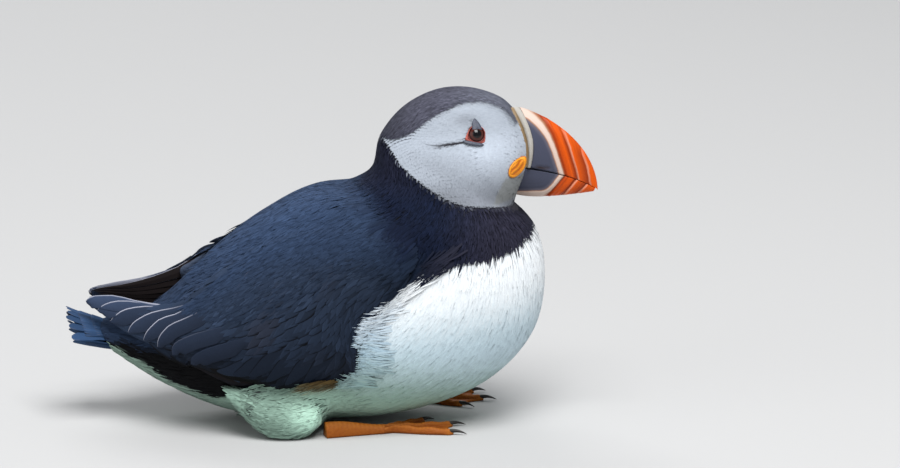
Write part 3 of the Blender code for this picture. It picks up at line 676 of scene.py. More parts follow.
def coatMaterial(name, rough, specular, sheen, sheenTint, fine, broken, between, streak, bump):
    # The piece's own tint, streaked along the barbs, with barb bump.
    material, tree, shader = newMaterial(name)
    lie = addNode(tree, "UVMap", uv_map="lie")["UV"]
    group = placed(tree, barbs, {"Lie": lie, "PerMillimetre": fine, "Break": broken})
    streaked = addNode(tree, "MixRGB", {
        "Fac": sums(tree, "MULTIPLY", group["Mask"], streak), "Color1": markOf(tree, "tint")["Color"],
        "Color2": between}, blend_type="MULTIPLY")["Color"]
    feed(tree, shader, {
        "Base Color": streaked, "Roughness": rough, "Specular IOR Level": specular,
        "Sheen Weight": sheen, "Sheen Roughness": 0.4, "Sheen Tint": sheenTint})
    roughen(tree, shader, group["Height"], bump, 0.0002)
    return material

coatFinishes = {
    # Roughness, specular, sheen and its tint, barbs to a millimetre, how broken they are, the colour
    # between them and how much of it shows, and bump.
    "darkPlumage": (0.75, 0.06, 0.02, (0.5, 0.65, 1.0), 2.6, 0.9, (0.62, 0.62, 0.66), 0.8, 0.12),
    "palePlumage": (0.8, 0.15, 0.06, (1.0, 1.0, 1.0), 2.2, 0.9, (0.86, 0.88, 0.92), 0.35, 0.05),
    "wingPlumage": (0.7, 0.08, 0.02, (0.5, 0.65, 1.0), 2.0, 0.6, (0.58, 0.58, 0.6), 0.8, 0.2),
}
darkCoat, paleCoat, wingCoat = (coatMaterial(name, *values) for name, values in coatFinishes.items())
paleDress, darkDress, wingDress = (
    (paleCoat, "white_plumage"), (darkCoat, "black_plumage"), (wingCoat, "black_plumage"))

# The eye's middle in side view, its depth under the coat, and the lid's reach from it: a round, its
# corners behind and ahead as (reach, direction in degrees), and how sharp both are.
eyeLook = {"x": 60.7, "z": 124.9, "sunk": 3.0, "round": 3.62, "corners": ((1.45, 203), (1.05, 310)),
           "sharp": 13}
upward, forward = array([0.0, 0.0, 1.0]), array([1.0, 0.0, 0.0])

def eyeAxes(side):  # out of the eye by the head's slope there, forward across it and up across it
    x, z = eyeLook["x"], eyeLook["z"]
    slopeX, slopeZ = sideOfBody(x - 1, z) - sideOfBody(x + 1, z), sideOfBody(x, z - 1) - sideOfBody(x, z + 1)
    axis = unit(array([float(slopeX), 2.0, float(slopeZ)]))
    above = unit(upward - axis * axis[2])
    aside = unit(forward - axis * axis[0] - above * above[0])
    flip = array([1.0, side, 1.0])
    return axis * flip, aside * flip, above * flip

eyeSide = float(sideOfBody(array(eyeLook["x"]), array(eyeLook["z"])))
eyeCentre = array([eyeLook["x"], eyeSide, eyeLook["z"]]) - eyeAxes(1)[0] * eyeLook["sunk"]

def lidReach(turn):  # how far the lid reaches: a round with a long corner behind and a short one ahead
    reach = eyeLook["round"] + 0.12 * held(cos(turn))
    for far, place in eyeLook["corners"]:
        reach = reach + far * held(cos(turn - math.radians(place))) ** eyeLook["sharp"]
    return reach

def bareSkin(p):  # places with no feathers: the lids, the two horn plates and the rosette
    x, z = p[..., 0], p[..., 2]
    along = (x - 77.9) * 0.616 + (z - 109.6) * 0.788
    aside = -(x - 77.9) * 0.788 + (z - 109.6) * 0.616
    pad = (along / 4.7) ** 2 + (aside / 3.1) ** 2 < 1
    above = abs(x - 60.8 + 0.3 * (z - 127)) < 1.7 * held(1 - (z - 127) / 4.0) ** 0.7
    below = (abs(z - 121.3 + 0.2 * (x - 59.3)) < 0.7) & (abs(x - 59.3) < 3.8)
    dx, dz = x - eyeLook["x"], z - eyeLook["z"]
    lids = np.hypot(dx, dz) < lidReach(np.arctan2(dz, dx)) - 0.1
    return lids | (above & (z > 126) & (z < 131)) | below | pad

def faceRelief(p):
    # A shallow socket round the eye, a brow over it, and a lipped fold that runs back from it.
    x, z = p[..., 0], p[..., 2]
    c = heightOf(crease, x)
    fold = smooth(x, 38.5, 50) * smooth(60.0 - x, 0, 4)
    lip = 0.45 * hump(z, c + 1.5, 1.3) - 0.55 * hump(z, c, 0.6)
    socket = -0.45 * hump(x, eyeLook["x"], 5.0) * hump(z, eyeLook["z"], 5.0)
    brow = 0.35 * hump(z, 133.0, 2.2) * hump(x, 57, 9.0)
    cheek = 0.5 * hump(z, 116.0, 4.0) * hump(x, 62, 13.0)
    return fold * lip + socket + brow + cheek

coatDepth = {"billBase": 0.35, "forehead": 0.35, "occiput": 0.5, "nape": 0.9, "mantle": 1.3, "rump": 1.3,
             "tailRoot": 1.2}

def depthAt(s):  # how far the skin lies under the feather tips, in straight lines between the sections
    return interp(s, [sectionAt[k] for k in coatDepth], list(coatDepth.values()))

legs = {
    "heel": {"right": (-4.0, 32.5), "left": (7.0, 25.0)},
    "toeRoot": {"right": (22.0, 25.0), "left": (33.5, 26.5)},
    "shankLength": 37.0, "shankRadius": 12.5,
}

def shankPoint(t, turn, name, grow=0.0):
    # Rings round a line from the flank down to the heel, swelling in the middle, flat on the ground.
    heel = (legs["heel"][name][0], sides[name] * legs["heel"][name][1])
    radius = legs["shankRadius"] * sin(pi * (0.16 + 0.7 * t)) ** 0.9 + grow
    x = heel[0] + 1.0 - legs["shankLength"] * (1 - t) - 3.0 * sin(turn) * (1 - t)
    y = heel[1] * (0.93 + 0.07 * t) + 0.78 * radius * cos(turn)
    z = 15.5 - 6.8 * t - 4.0 * sin(pi * t) + 0.85 * radius * sin(turn)
    return stack([x, y, maximum(z, 0.3 - grow)], -1)

skinLook = {"wingUnder": 1.7, "wingDeep": 6.0, "shankUnder": 1.6, "voxel": 0.0015, "passes": 6, "shade": 0.8}

def skinParts():  # closed surfaces that lie under the coat: the body, the wing arms and the shanks
    s, a = gridOf(linspace(0, bodyLength, 150), around(96))
    yield tubeOf(bodyPoint(s, a, -depthAt(s)))
    for name, side in sides.items():
        u, v = gridOf(linspace(6, wingAt["bend"] + 4, 60), linspace(0.04, 0.96, 30))
        outer = wingPoint(u, v, side, -skinLook["wingUnder"])
        inner = outer - array([0.0, side * skinLook["wingDeep"], 0.0])
        yield (*shellOf(outer, inner), np.zeros((0, 3), int))
        yield tubeOf(shankPoint(*gridOf(linspace(0, 1, 30), around(32)), name, -skinLook["shankUnder"]))

def makeSkin():
    # The closed surfaces are joined into one and evened out, then the face's relief is raised on it.
    points, quads, tris = zip(*skinParts())
    starts = np.cumsum([0] + [len(p) for p in points[:-1]])
    skin = makePiece("skin", join(points), join([q + n for q, n in zip(quads, starts)]),
                     join([q + n for q, n in zip(tris, starts)]))
    evened = skin.modifiers.new("evened", "REMESH")
    evened.mode, evened.voxel_size, evened.use_smooth_shade = "VOXEL", skinLook["voxel"], True
    softened = skin.modifiers.new("softened", "SMOOTH")
    softened.factor, softened.iterations = 0.5, skinLook["passes"]
    mesh = bpy.data.meshes.new_from_object(skin.evaluated_get(bpy.context.evaluated_depsgraph_get()))
    skin.modifiers.clear()
    old, skin.data = skin.data, mesh
    bpy.data.meshes.remove(old)
    mesh.name = "skin"
    p = readPoints(mesh.vertices, "co", len(mesh.vertices)) / mm
    p = p + readPoints(mesh.vertex_normals, "vector", len(p)) * faceRelief(p)[:, None]
    mesh.vertices.foreach_set("co", (p * mm).astype(np.float32).ravel())
    # the skin shows only between tufts; its tint is the coat's colour darkened by the shade factor, as
    # painted shade
    writeMark(mesh, "tint", markingsAndPaintedLight(p) * skinLook["shade"])
    mesh.shade_smooth()
    return skin

def skinMaterial():  # the skin's own tint over a fine grain
    material, tree, shader = newMaterial("skinDown")
    feed(tree, shader, {"Base Color": markOf(tree, "tint")["Color"], "Roughness": 0.85})
    grain = addNode(tree, "TexNoise", {"Scale": 1200.0, "Vector": objectPlace(tree)})["Fac"]
    roughen(tree, shader, grain, 1.0, 0.0004)
    return material

finish(makeSkin(), skinMaterial(), "white_plumage",
       "head", "neck", "trunk", "rump", "wing_right", "wing_left", "shank_right", "shank_left")
print("skin ready")

# Rings of a tuft and of a vane, in half widths and thicknesses, and a tuft's width from root to tip.
smallRing = [(-1, 0), (0, 0.9), (1, 0), (0, -0.5)]
vaneRing = [(-1, 0), (-0.9, 0.55), (-0.45, 0.95), (0, 1.35), (0.45, 0.95), (0.9, 0.55), (1, 0), (0, -0.5)]
tuftWidths = {4: array([0.7, 1.0, 0.8, 0.2]), 5: array([0.6, 1.0, 0.95, 0.6, 0.2])}
ground = 0.4  # the lowest a feather's midline comes

coatColumns = (
    # Tufts to a square millimetre, lengths and thicknesses, lift of the tip, turn downward and its
    # spread in degrees, unevenness of colour, softness of shading, and the share of the length left
    # where two markings meet.
    "density", "length", "half", "stations", "thick", "lift", "turn", "spread", "mottle", "soft", "border",
)
coats = {
    "face": (2.6, 2.2, 0.44, 4, 0.03, 0.01, 6, 5, 0.025, 0.95, 0.4),
    "crown": (2.1, 3.4, 0.32, 4, 0.06, 0.03, 2, 6, 0.2, 0.88, 0.4),
    "collar": (1.25, 5.5, 0.4, 4, 0.06, 0.03, 6, 6, 0.22, 0.88, 0.4),
    "breast": (0.8, 12.5, 0.66, 5, 0.025, 0.01, 8, 4, 0.03, 0.97, 0.45),
    "mantle": (0.58, 9.5, 0.7, 5, 0.06, 0.03, 6, 5, 0.14, 0.9, 0.6),
    "flank": (0.44, 10.0, 0.7, 5, 0.1, 0.25, 4, 9, 0.15, 0.8, 0.8),
}

def wingOutline(side):  # the folded wing's upper edge out and its lower edge back, in side view
    u = linspace(0, wingLength, 60)
    upper, lower = wingPoint(u, 0.0 * u, side), wingPoint(u, 0.0 * u + 1, side)
    return join([upper, lower[::-1]])[:, [0, 2]]

outlines = {name: wingOutline(side) for name, side in sides.items()}

def underWing(p):  # how far a place on the body lies inside the wing's outline on its own side
    right, left = (insideBy(p[..., 0], p[..., 2], outlines[name]) for name in sides)
    return np.where(p[..., 1] < 0, right, left)

def coatZone(p, rng):  # name of the coat at each place, the later ones over the earlier
    ragged = rng.normal(0, 0.08, p.shape[:-1])
    x, z = p[..., 0], p[..., 2]
    zone = np.where(x + z - 118 > 0, "collar", "mantle")
    for name, here in (
        ("breast", insideBy(x, z, whitePatch) + 3 * ragged > 0), ("flank", (x < -34) & (z < 44)),
        ("crown", (z - 122 + 0.25 * (x - 24) > 0) & (x > 6)),
        ("face", insideBy(x, z, facePatch) + ragged > 0),
    ):
        zone = np.where(here, name, zone)
    return zone

def shaded(colour, t, foot, gain):  # each feather's colour along it, darkest at its foot as painted shade where others lie over it
    return clip(colour[:, None] * (foot + gain * t)[None, :, None], 0.002, 0.95)

def makeCoat(zone, label, part=None, share=1.0):
    # Tufts rooted on the skin; each rises by a power of the way along it to the coat's surface.
    look = dict(zip(coatColumns, coats[zone]))
    rng = seeded(sum(map(ord, zone)) + 7)

    def keep(p, s):
        chosen = (coatZone(p, seeded(11)) == zone) & (underWing(p) < 4.5)
        return chosen & (s < bodyLength - 1.5) & ~bareSkin(p)

    s, a = scatterBody(look["density"] * share, keep)
    if part is not None:
        chosen = part(bodyPoint(s, a))
        s, a = s[chosen], a[chosen]
    n, k = len(s), look["stations"]
    start = bodyPoint(s, a)
    border = [abs(insideBy(start[:, 0], start[:, 2], patch)) for patch in (facePatch, whitePatch)]
    short = mix(look["border"], 1.0, smooth(np.minimum(*border), 0.2, 2.2))  # smaller where markings meet
    length = look["length"] * rng.uniform(0.75, 1.2, n) * short
    turn = radians(look["turn"] + rng.normal(0, look["spread"], n))
    mid, up = walkOver(bodyFrame, s, a, turn, [length / (k - 1)] * k, (8, 0.12))
    root = mid[:, 0]
    t = linspace(0, 1, k)
    tip = look["lift"] * rng.uniform(-0.8, 1.0, (n, 1))
    rise = -depthAt(s)[:, None] * 0.95 * (1 - t) ** 3.4 + tip * t + faceRelief(mid)
    mid = mid + up * rise[..., None]
    mid[..., 2] = maximum(mid[..., 2], ground)
    half = look["half"] / share**0.5 * rng.uniform(0.8, 1.2, (n, 1)) * mix(0.75, 1.0, short[:, None])
    colour = markingsAndPaintedLight(root, rng.normal(0, 0.12, n)) * uneven(rng, n, look["mottle"])
    tuftPiece("coat_" + label, paleDress if zone in ("face", "breast") else darkDress, mid, up,
              half * tuftWidths[k], look["thick"] * (1 - 0.5 * t), smallRing, shaded(colour, t, 0.94, 0.08),
              unwrapPlace(s, a), look["soft"])

# The breast's tufts are fewer and broader on the belly, below this height.
bellyTop, bellyShare = 30, 0.52
for name, side in sides.items():
    makeCoat("face", "face_" + name, lambda p: (p[..., 1] < 0) == (side < 0))
for zone in ("crown", "collar"):
    makeCoat(zone, zone)
for label, up, share in (("breast_", True, 1.0), ("belly_", False, bellyShare)):
    for name, side in sides.items():
        makeCoat("breast", label + name,
                 lambda p: ((p[..., 1] < 0) == (side < 0)) & ((p[..., 2] > bellyTop) == up), share)
for zone in ("mantle", "flank"):
    makeCoat(zone, zone)

shankCoat = {"count": 800, "length": 8.5, "half": 0.8, "thick": 0.08, "spread": 8, "soft": 0.8, "sunk": 1.5}

def shankMiddle(t, name):  # the line inside the shank
    return (shankPoint(t, 0.0 * t, name) + shankPoint(t, 0.0 * t + pi, name)) / 2

def makeShankCoat(name):
    # Silky tufts over thigh and shank, walked toward the tail and raised by a power of the way.
    look = shankCoat
    rng = seeded(31 + sides[name])
    n, k = look["count"], 5
    t0, turn0 = evenSpread(n, (0.03, 0), (0.98, 2 * pi))
    length = look["length"] * rng.uniform(0.7, 1.2, n) * mix(0.35, 1.0, smooth(t0, 0.0, 0.35))
    lean = radians(rng.normal(0, look["spread"], n))

    def shankFrame(t, turn):  # ahead is toward the flank
        p, jt, jr, n = frameOn(lambda u, v: shankPoint(u, v, name), t, turn, 0.004, 0.01)
        return p, jt, jr, n * np.sign(dot(n, p - shankMiddle(t, name)))[:, None], -unit(jt), unit(jr)

    mid, up = walkOver(shankFrame, t0, turn0, lean, [length / (k - 1)] * k, (0.1, 0.3))
    u = linspace(0, 1, k)
    mid = mid + up * (-look["sunk"] + (1.6 + 0.5 * rng.uniform(-1, 1, (n, 1))) * u**0.8)[..., None]
    mid[..., 2] = maximum(mid[..., 2], ground)
    root = mid[:, 0]
    half = look["half"] * rng.uniform(0.8, 1.2, (n, 1)) * tuftWidths[k]
    dark = hump(root[:, 0] - 0.6 * (root[:, 2] - 14), -26, 2.6) * smooth(root[:, 2], 8, 13)
    dark = (0.85 * dark * (rng.uniform(0, 1, n) < 0.75))[:, None]
    # the belly colour carries painted shade and a painted green reflection from below
    colour = mix(plumage["belly"], plumage["flank"] * 4, dark) * uneven(rng, n, 0.04)
    tuftPiece("coat_shank_" + name, paleDress, mid, up, half, look["thick"], smallRing,
              shaded(colour, u, 0.92, 0.1), unwrapPlace(t0, turn0), look["soft"])

for name in sides:
    makeShankCoat(name)

def makeOuterMap(name):
    # What is seen from one side: the body, with the folded wing and the thigh standing out from it,
    # rounded together where they meet.
    side = sides[name]
    wing = wingPoint(*gridOf(linspace(0, wingAt["hand"], 900), linspace(0, 1, 400)), side)
    thigh = shankPoint(*gridOf(linspace(0, 1, 400), linspace(0, 2 * pi, 700)), name)
    cells = blurred(stamped(sideMap, thigh, side * thigh[..., 1]), 8)
    return blurred(stamped(cells, wing, side * wing[..., 1]), 5)

def makeLapMap(cells):  # the same, spread over each edge and blurred, but nowhere lower than it was
    wider = cells
    for axis in (0, 1) * 2:
        wider = maximum(wider, maximum(np.roll(wider, 1, axis), np.roll(wider, -1, axis)))
    return maximum(cells, blurred(wider, 7))

outerMaps = {name: makeOuterMap(name) for name in sides}
lapMaps = {name: makeLapMap(cells) for name, cells in outerMaps.items()}
fairMaps = {name: maximum(cells, blurred(cells, 50)) for name, cells in outerMaps.items()}  # evened

def onSide(name, x, z):  # points of what is seen from a side, at side-view places
    return stack([x, sides[name] * readMap(outerMaps[name], x, z), z], -1)

# What lies over a side: its map, stations, thickness, softness of shading, and dress.
sideLooks = {
    "thigh": (fairMaps, 5, 0.06, 0.94, paleDress),
    "fringe": (lapMaps, 5, 0.05, 0.95, paleDress),
    "stain": (lapMaps, 5, 0.05, 0.95, paleDress),
    "scapulars": (fairMaps, 5, 0.07, 0.9, darkDress),
    "crease": (outerMaps, 4, 0.05, 0.8, paleDress),
}
along5 = linspace(0, 1, 5)

def makeSideTufts(label, name, roots, heading, bend, length, half, colour, rise):
    # Tufts laid over one side. Each midline is an arc in side view, its heading (radians, 0 forward,
    # a quarter turn up) changing by bend along it; rise is its height over the surface at each station.
    # Shading follows a body whose hollows are filled, except in the crease.
    maps, k, thick, soft, dress = sideLooks[label]
    t = linspace(0, 1, k)
    angle = heading[:, None] + bend[:, None] * t
    step = (length / (k - 1))[:, None]
    x = roots[0][:, None] + np.cumsum(cos(angle) * step, 1) - cos(angle[:, :1]) * step
    z = maximum(roots[1][:, None] + np.cumsum(sin(angle) * step, 1) - sin(angle[:, :1]) * step, 0.6)
    y = readMap(maps[name], x, z)
    cells = outerMaps[name] if maps is outerMaps else fairMaps[name]
    slopeX = (readMap(cells, x + 0.7, z) - readMap(cells, x - 0.7, z)) / 1.4
    slopeZ = (readMap(cells, x, z + 0.7) - readMap(cells, x, z - 0.7)) / 1.4
    up = unit(stack([-slopeX, sides[name] + 0 * x, -slopeZ], -1))
    mid = stack([x, sides[name] * y, z], -1) + up * rise[..., None]
    mid[..., 2] = maximum(mid[..., 2], ground)
    tuftPiece(f"coat_{label}_{name}", dress, mid, up, half[:, None] * tuftWidths[k], thick, smallRing,
              shaded(colour, t, 0.92, 0.1), unwrapPlace(*roots), soft)

def backward(degrees):  # headings turned up from straight back
    return pi + radians(degrees)

thighPatch = array([(26, 6), (24, 13), (14, 20), (4, 24), (-10, 24), (-26, 21.5), (-33, 17), (-36, 10),
                       (-33, 4), (-26, 1.5), (2, 1.5)])

def makeThigh(name):
    # Silky feathers that run from the belly over the thigh and hide where it joins: even places kept
    # inside a patch with a loose edge, raised by a power of the way along them.
    rng = seeded(61)
    shift = legs["heel"][name][0] - legs["heel"]["right"][0]
    x, z = evenSpread(2900, (-44, 1), (28, 26))
    p = onSide(name, x + shift, z)
    chosen = (insideBy(x, z, thighPatch) > rng.uniform(-3, 2, len(x))) & (abs(p[..., 1]) > 20)
    chosen = chosen & (underWing(p) < 3)
    x, z, p = x[chosen], z[chosen], p[chosen]
    n = len(x)
    heading = backward(mix(4, 30, smooth(-x, 15, 42)) + rng.normal(0, 6, n))
    tip = rng.uniform(0.0, 0.25, (n, 1))
    streak = hump(x - 0.7 * (z - 15.5), -25, 1.6) * smooth(z, 9, 12) * smooth(24 - z, 0, 3)
    # toward the rear the thigh takes the belly colour, painted shade with its painted green reflection,
    # darkened further as painted shade
    colour = mix(markingsAndPaintedLight(p), plumage["belly"] * 0.72, 0.95 * smooth(-x, -3, 14)[:, None])
    colour = mix(colour, plumage["flank"] * 5, (0.9 * streak * (rng.uniform(0, 1, n) < 0.8))[:, None])
    colour = colour * uneven(rng, n, 0.05)
    bend = radians(rng.normal(8, 4, n))
    length = mix(10.0, 5.0, smooth(-x, 24, 40)) * rng.uniform(0.8, 1.2, n)
    half = 0.5 * rng.uniform(0.8, 1.2, n)
    makeSideTufts("thigh", name, (x + shift, z), heading, bend, length, half, colour,
                  -1.3 * (1 - along5) ** 2.2 + tip * along5)

# Side view of the wing's front edge, as (height, place) where the white feathers' points end on it.
fringeEnds = array([
    (22, -1), (26, 3), (29.3, 7), (33.8, 10.5), (38, 11), (43.7, 9.5), (50.7, 12), (57, 20.5),
    (63, 28.5), (67, 33), (72, 38), (76, 43.5),
])

def makeFringe(name):
    # White points that lap from the breast on to the wing's front edge, clumped by two sines of the
    # height; each starts its own length ahead of where it ends.
    rng = seeded(67)
    n = 950
    golden = 0.6180339887  # spreads heights evenly, whatever the count
    z = mix(23.0, 75.0, (0.5 + arange(n) * golden) % 1)
    length = 9.5 * rng.uniform(0.35, 1.7, n)
    clump = sin(z * 1.9) + sin(z * 0.83 + 1)
    ends = heightOf(fringeEnds, z) + 0.7 * clump + 6.5 * rng.uniform(0, 1, n) ** 1.3
    heading = backward(mix(-8, 38, smooth(z, 38, 66)) + rng.normal(0, 6, n))
    x, z = ends - length * cos(heading), z - length * sin(heading)
    colour = markingsAndPaintedLight(onSide(name, x, z) + array([3.0, 0, 3.5])) * uneven(rng, n, 0.05)
    # painted blue shade over the fringe, gone toward the front, with a random strength for each feather
    outOfBlueShade = maximum(smooth(x, 24, 40), rng.uniform(0, 0.8, n))[:, None]
    colour = colour * mix(array([0.84, 0.91, 1.0]), 1.0, outOfBlueShade)
    rise = -2.2 * (1 - along5) ** 4 + (0.95 + 0.35 * rng.uniform(0, 1, (n, 1))) * along5**0.6
    makeSideTufts("fringe", name, (x, z), heading, radians(rng.normal(-6, 8, n)), length,
                  0.38 * rng.uniform(0.7, 1.3, n), colour, rise)

def makeStain(name):
    # Stained feathers that show along the lower edge of the wing: even places inside a loose oval.
    rng = seeded(79)
    x, z = evenSpread(420, (-12, 22.5), (7, 29))
    chosen = ((x + 2.5) / 8.5) ** 2 + ((z - 24.6 - 0.12 * x) / 2.3) ** 2 < rng.uniform(0.5, 1.2, len(x))
    x, z = x[chosen], z[chosen]
    n = len(x)
    pale = 0.45 * smooth(26.5 - z, 0, 4) * rng.uniform(0.0, 1, n)
    # the belly colour carries painted shade and a painted green reflection from below
    colour = mix(plumage["stain"] * 0.2, plumage["belly"], pale[:, None]) * uneven(rng, n, 0.25)
    rise = -0.6 * (1 - along5) ** 3 + 0.75 + 0.4 * rng.uniform(0, 1, (n, 1)) * along5
    makeSideTufts("stain", name, (x, z), backward(rng.normal(10, 7, n)), radians(rng.normal(6, 5, n)),
                  5.5 * rng.uniform(0.7, 1.2, n), 0.4 * rng.uniform(0.8, 1.2, n), colour, rise)

def makeScapulars(name):
    # Narrow feathers that lap from the back over the wing's upper edge: even places from above that
    # edge to a loose line below it.
    rng = seeded(71)
    u = linspace(0, wingAt["bend"], 80)
    edge = wingPoint(u, 0.0 * u, sides[name])
    x, z = evenSpread(5600, (-54, 54), (37, 96))
    below = interp(-x, -edge[:, 0], edge[:, 2]) - z
    reach = mix(14.0, 24.0, smooth(-x, -20, 20)) * rng.uniform(0.1, 1.25, len(x)) ** 0.8
    chosen = (below > -7 - 4 * smooth(x, 20, 40)) & (below < reach) & (readMap(sideMap, x, z) > 9)
    chosen = chosen & (insideBy(x, z, whitePatch) < -1.5)
    x, z, below = x[chosen], z[chosen], below[chosen]
    n = len(x)
    heading = backward(mix(28, 33, smooth(-x, -20, 10)) + 14 * smooth(x, 20, 45) + rng.normal(0, 4, n))
    colour = mix(markingsAndPaintedLight(onSide(name, x, z)), wingColour(x, z), smooth(below, 0, 14)[:, None])
    colour = colour * uneven(rng, n, 0.14)
    lift = 0.26 - 0.12 * smooth(below, 4, 14)[:, None] + 0.12 * rng.uniform(-1, 1, (n, 1))
    makeSideTufts("scapulars", name, (x, z), heading, radians(rng.normal(4, 3, n)),
                  9.5 * rng.uniform(0.8, 1.2, n), 0.72 * rng.uniform(0.8, 1.2, n), colour,
                  -1.2 * (1 - along5) ** 3 + lift * along5)

def makeCrease(name):
    # A line of tiny feathers in the fold that runs back from the eye, dark with painted shadow, thinning as
    # it goes.
    rng = seeded(73)
    n = 80
    x = linspace(40.5, 55.6, n)
    z = heightOf(crease, x)
    slope = (heightOf(crease, x - 0.5) - z) / 0.5
    strength = smooth(x, 39.5, 51)[:, None]
    p = stack([x, 0 * x + 15, z + 1.2], -1)
    t = linspace(0, 1, 4)
    rise = faceRelief(p)[:, None] * 0.2 + 0.02 - 0.3 * (1 - t) + 0.1 * t
    makeSideTufts("crease", name, (x, z + rng.normal(0, 0.05, n)), pi - np.arctan(slope), 0 * x, 0 * x + 2.2,
                  mix(0.13, 0.3, strength[:, 0]), mix(markingsAndPaintedLight(p), plumage["crease"], strength), rise)

for name in sides:
    for make in (makeThigh, makeFringe, makeStain, makeScapulars, makeCrease):
        make(name)
print("body coat ready")

wingLook = {
    "length": (9.5, 19.0), "half": (1.1, 3.3), "turn": (10, 24), "sink": 1.2, "thick": 0.14,
    "paleEdge": (0.46, 0.47, 0.56), "brown": (0.044, 0.04, 0.052), "underside": (0.016, 0.012, 0.012),
    "quill": (0.024, 0.036, 0.067), "quillThick": 0.07, "underThick": 0.24, "black": plumage["flank"],
}
wingLook = {name: array(value) for name, value in wingLook.items()}

# Where the folded wing's lower edge lies, as (distance along the wing, share of its height).
wingFoot = array([
    (0, 1), (45, 1.02), (60, 1), (70, 0.96), (82, 0.93), (93, 0.93), (103, 0.84), (117, 0.9), (130, 0.99),
    (175, 1.02),
])

def footOfWing(u):  # that edge, in straight lines between its points
    return interp(u, wingFoot[:, 0], wingFoot[:, 1])

def wingFrame(u, v, side):  # the wing's point, its two slopes and its normal away from the body
    p, ju, jv, n = frameOn(lambda a, b: wingPoint(a, b, side), u, v, 0.5, 0.01)
    return p, ju, jv, n * np.sign(n[..., 1:2] * side)

def alongVane(stations):  # shares of a vane's length, closer together toward the tip
    return 1 - (1 - linspace(0, 1, stations)) ** 1.7

def vaneWidths(stations, blunt):  # half-width along a vane: quickly wide, then rounded in to the tip
    t = alongVane(stations)
    return clip(t / 0.22, 0.25, 1) ** 0.7 * held((1 - t) / 0.34) ** blunt

def overVane(t):  # numbers along a vane, set out for colours of (vanes, stations, ring points, 3)
    return t[None, :, None, None]

def overRing(values):  # numbers round a vane's ring, set out in the same way
    return array(values, float)[None, None, :, None]

def covertRoots(rng, side):
    # Brick rows across the wing: from row to row the vanes grow toward the tip and shift by half a vane.
    us, vs, lengths, halves = [], [], [], []
    u, row = 6.0, 0
    while u < wingAt["bend"] + 1:
        far = (u / wingAt["bend"]) ** 1.15
        length, half = mix(*wingLook["length"], far), mix(*wingLook["half"], far)
        tall = np.linalg.norm(wingPoint(u, 1.0, side) - wingPoint(u, 0.0, side))
        count = max(int(round(tall / (1.25 * half))), 2)
        v = (arange(count + 1) + 0.5 * (row % 2)) / count
        v = v[v < 1.03] - 0.01
        us.append(u + rng.normal(0, 0.07 * length, len(v)))
        vs.append(v + rng.normal(0, 0.1 / count, len(v)))
        lengths.append(np.full(len(v), length))
        halves.append(half * mix(0.6, 1.0, smooth(v + 0.35 * far, 0.25, 0.75)))
        u, row = u + 0.21 * length, row + 1
    u, v, length, half = (join(q) for q in (us, vs, lengths, halves))
    thinned = (u > wingAt["secondaries"] + 6) & (v < 0.25) & (rng.uniform(size=len(u)) < 0.5)
    keep = ~thinned & (v < footOfWing(u) - 0.02)
    return u[keep], v[keep], length[keep], half[keep]

def covertTint(rng, side, root, u, v, length, t):
    # The wing's colour in painted light from above, browner in patches, darker low down as painted shade and
    # black at its foot; the vanes are darker at the root as painted shade, the larger ones more, with
    # painted highlights on their rims and a painted shadow on the side that the next one laps.
    far = u / wingAt["bend"]
    x, z = root[:, 0], root[:, 2]
    brown = 0.35 * smooth(wave(root, 21, 23), 0.0, 0.8) * smooth(far, 0.2, 0.5)
    colour = mix(wingColour(x, z), scaled(wingLook["brown"], topLight(x, z)), brown[:, None])
    colour = colour * uneven(rng, len(u), 0.16) * mix(1.15, 0.32, smooth(44 - z, 0, 20)[:, None])
    black = smooth(v - footOfWing(u + 0.6 * length) + 0.16, 0, 0.1)
    black = black * smooth(u, 78, 90) * smooth(118 - u, 0, 8)
    colour = mix(colour, wingLook["black"], black[:, None])
    crisp = smooth(far + 0.45 * v, 0.15, 0.65)[:, None, None, None]
    # rim is a painted highlight, slit a painted shadow where the next vane laps
    rim = overVane(smooth(t, 0.6, 1.0)) * overRing([1, 0.7, 0, 0, 0, 0.7, 1, 1])
    slit = overRing([p[0] * side > 0.85 for p in vaneRing])
    tint = colour[:, None, None] * mix(overVane(0.97 + 0.05 * t), overVane(0.75 + 0.31 * t), crisp)
    tint = tint * (1 + 0.6 * rim * crisp) * (1 - 0.9 * slit * crisp)
    tint[:, :, -1] = wingLook["underside"]
    return clip(tint, 0.002, 0.9)

def makeCoverts(name):
    # Rounded vanes walked over the wing and along its lower edge, sunk at the root and lifted by a power
    # of the way along them.
    side = sides[name]
    rng = seeded(53)
    u, v, length, half = covertRoots(rng, side)
    n, k = len(u), 8
    far = u / wingAt["bend"]
    turn = radians(mix(*wingLook["turn"], far) + 16 * (v - 0.5) + rng.normal(0, 5, n))
    length = length * rng.uniform(0.85, 1.15, n)
    t = alongVane(k)

    def wingAxes(u, v):  # ahead is tipward and aside is toward the lower edge
        p, ju, jv, normal = wingFrame(u, v, side)
        return p, ju, jv, normal, unit(ju), square(jv, unit(ju))

    steps = [length * share for share in np.append(np.diff(t), 0)]
    mid, up = walkOver(wingAxes, u, v, turn, steps, (6, 0.2),
                       lambda u, v: clip(v, 0.03, footOfWing(u) + 0.01))
    sink = wingLook["sink"] * mix(0.7, 1.0, far)[:, None]
    level = 0.9 * smooth(0.16 - v, 0, 0.16) * smooth(0.6 - far, 0, 0.2)  # with the back, by the upper edge
    level = maximum(level, 1.2 * smooth(24 - u, 0, 14))
    lift = 0.08 + rng.uniform(-0.06, 0.1, (n, 1)) - level[:, None]
    mid = mid + up * (-sink * (1 - t) ** 2.4 + lift * t**0.75)[..., None]
    tuftPiece("coverts_" + name, wingDress, mid, up, half[:, None] * vaneWidths(k, 0.75), wingLook["thick"],
              vaneRing, covertTint(rng, side, mid[:, 0], u, v, length, t), unwrapPlace(u, v), 0.6, 0.06)
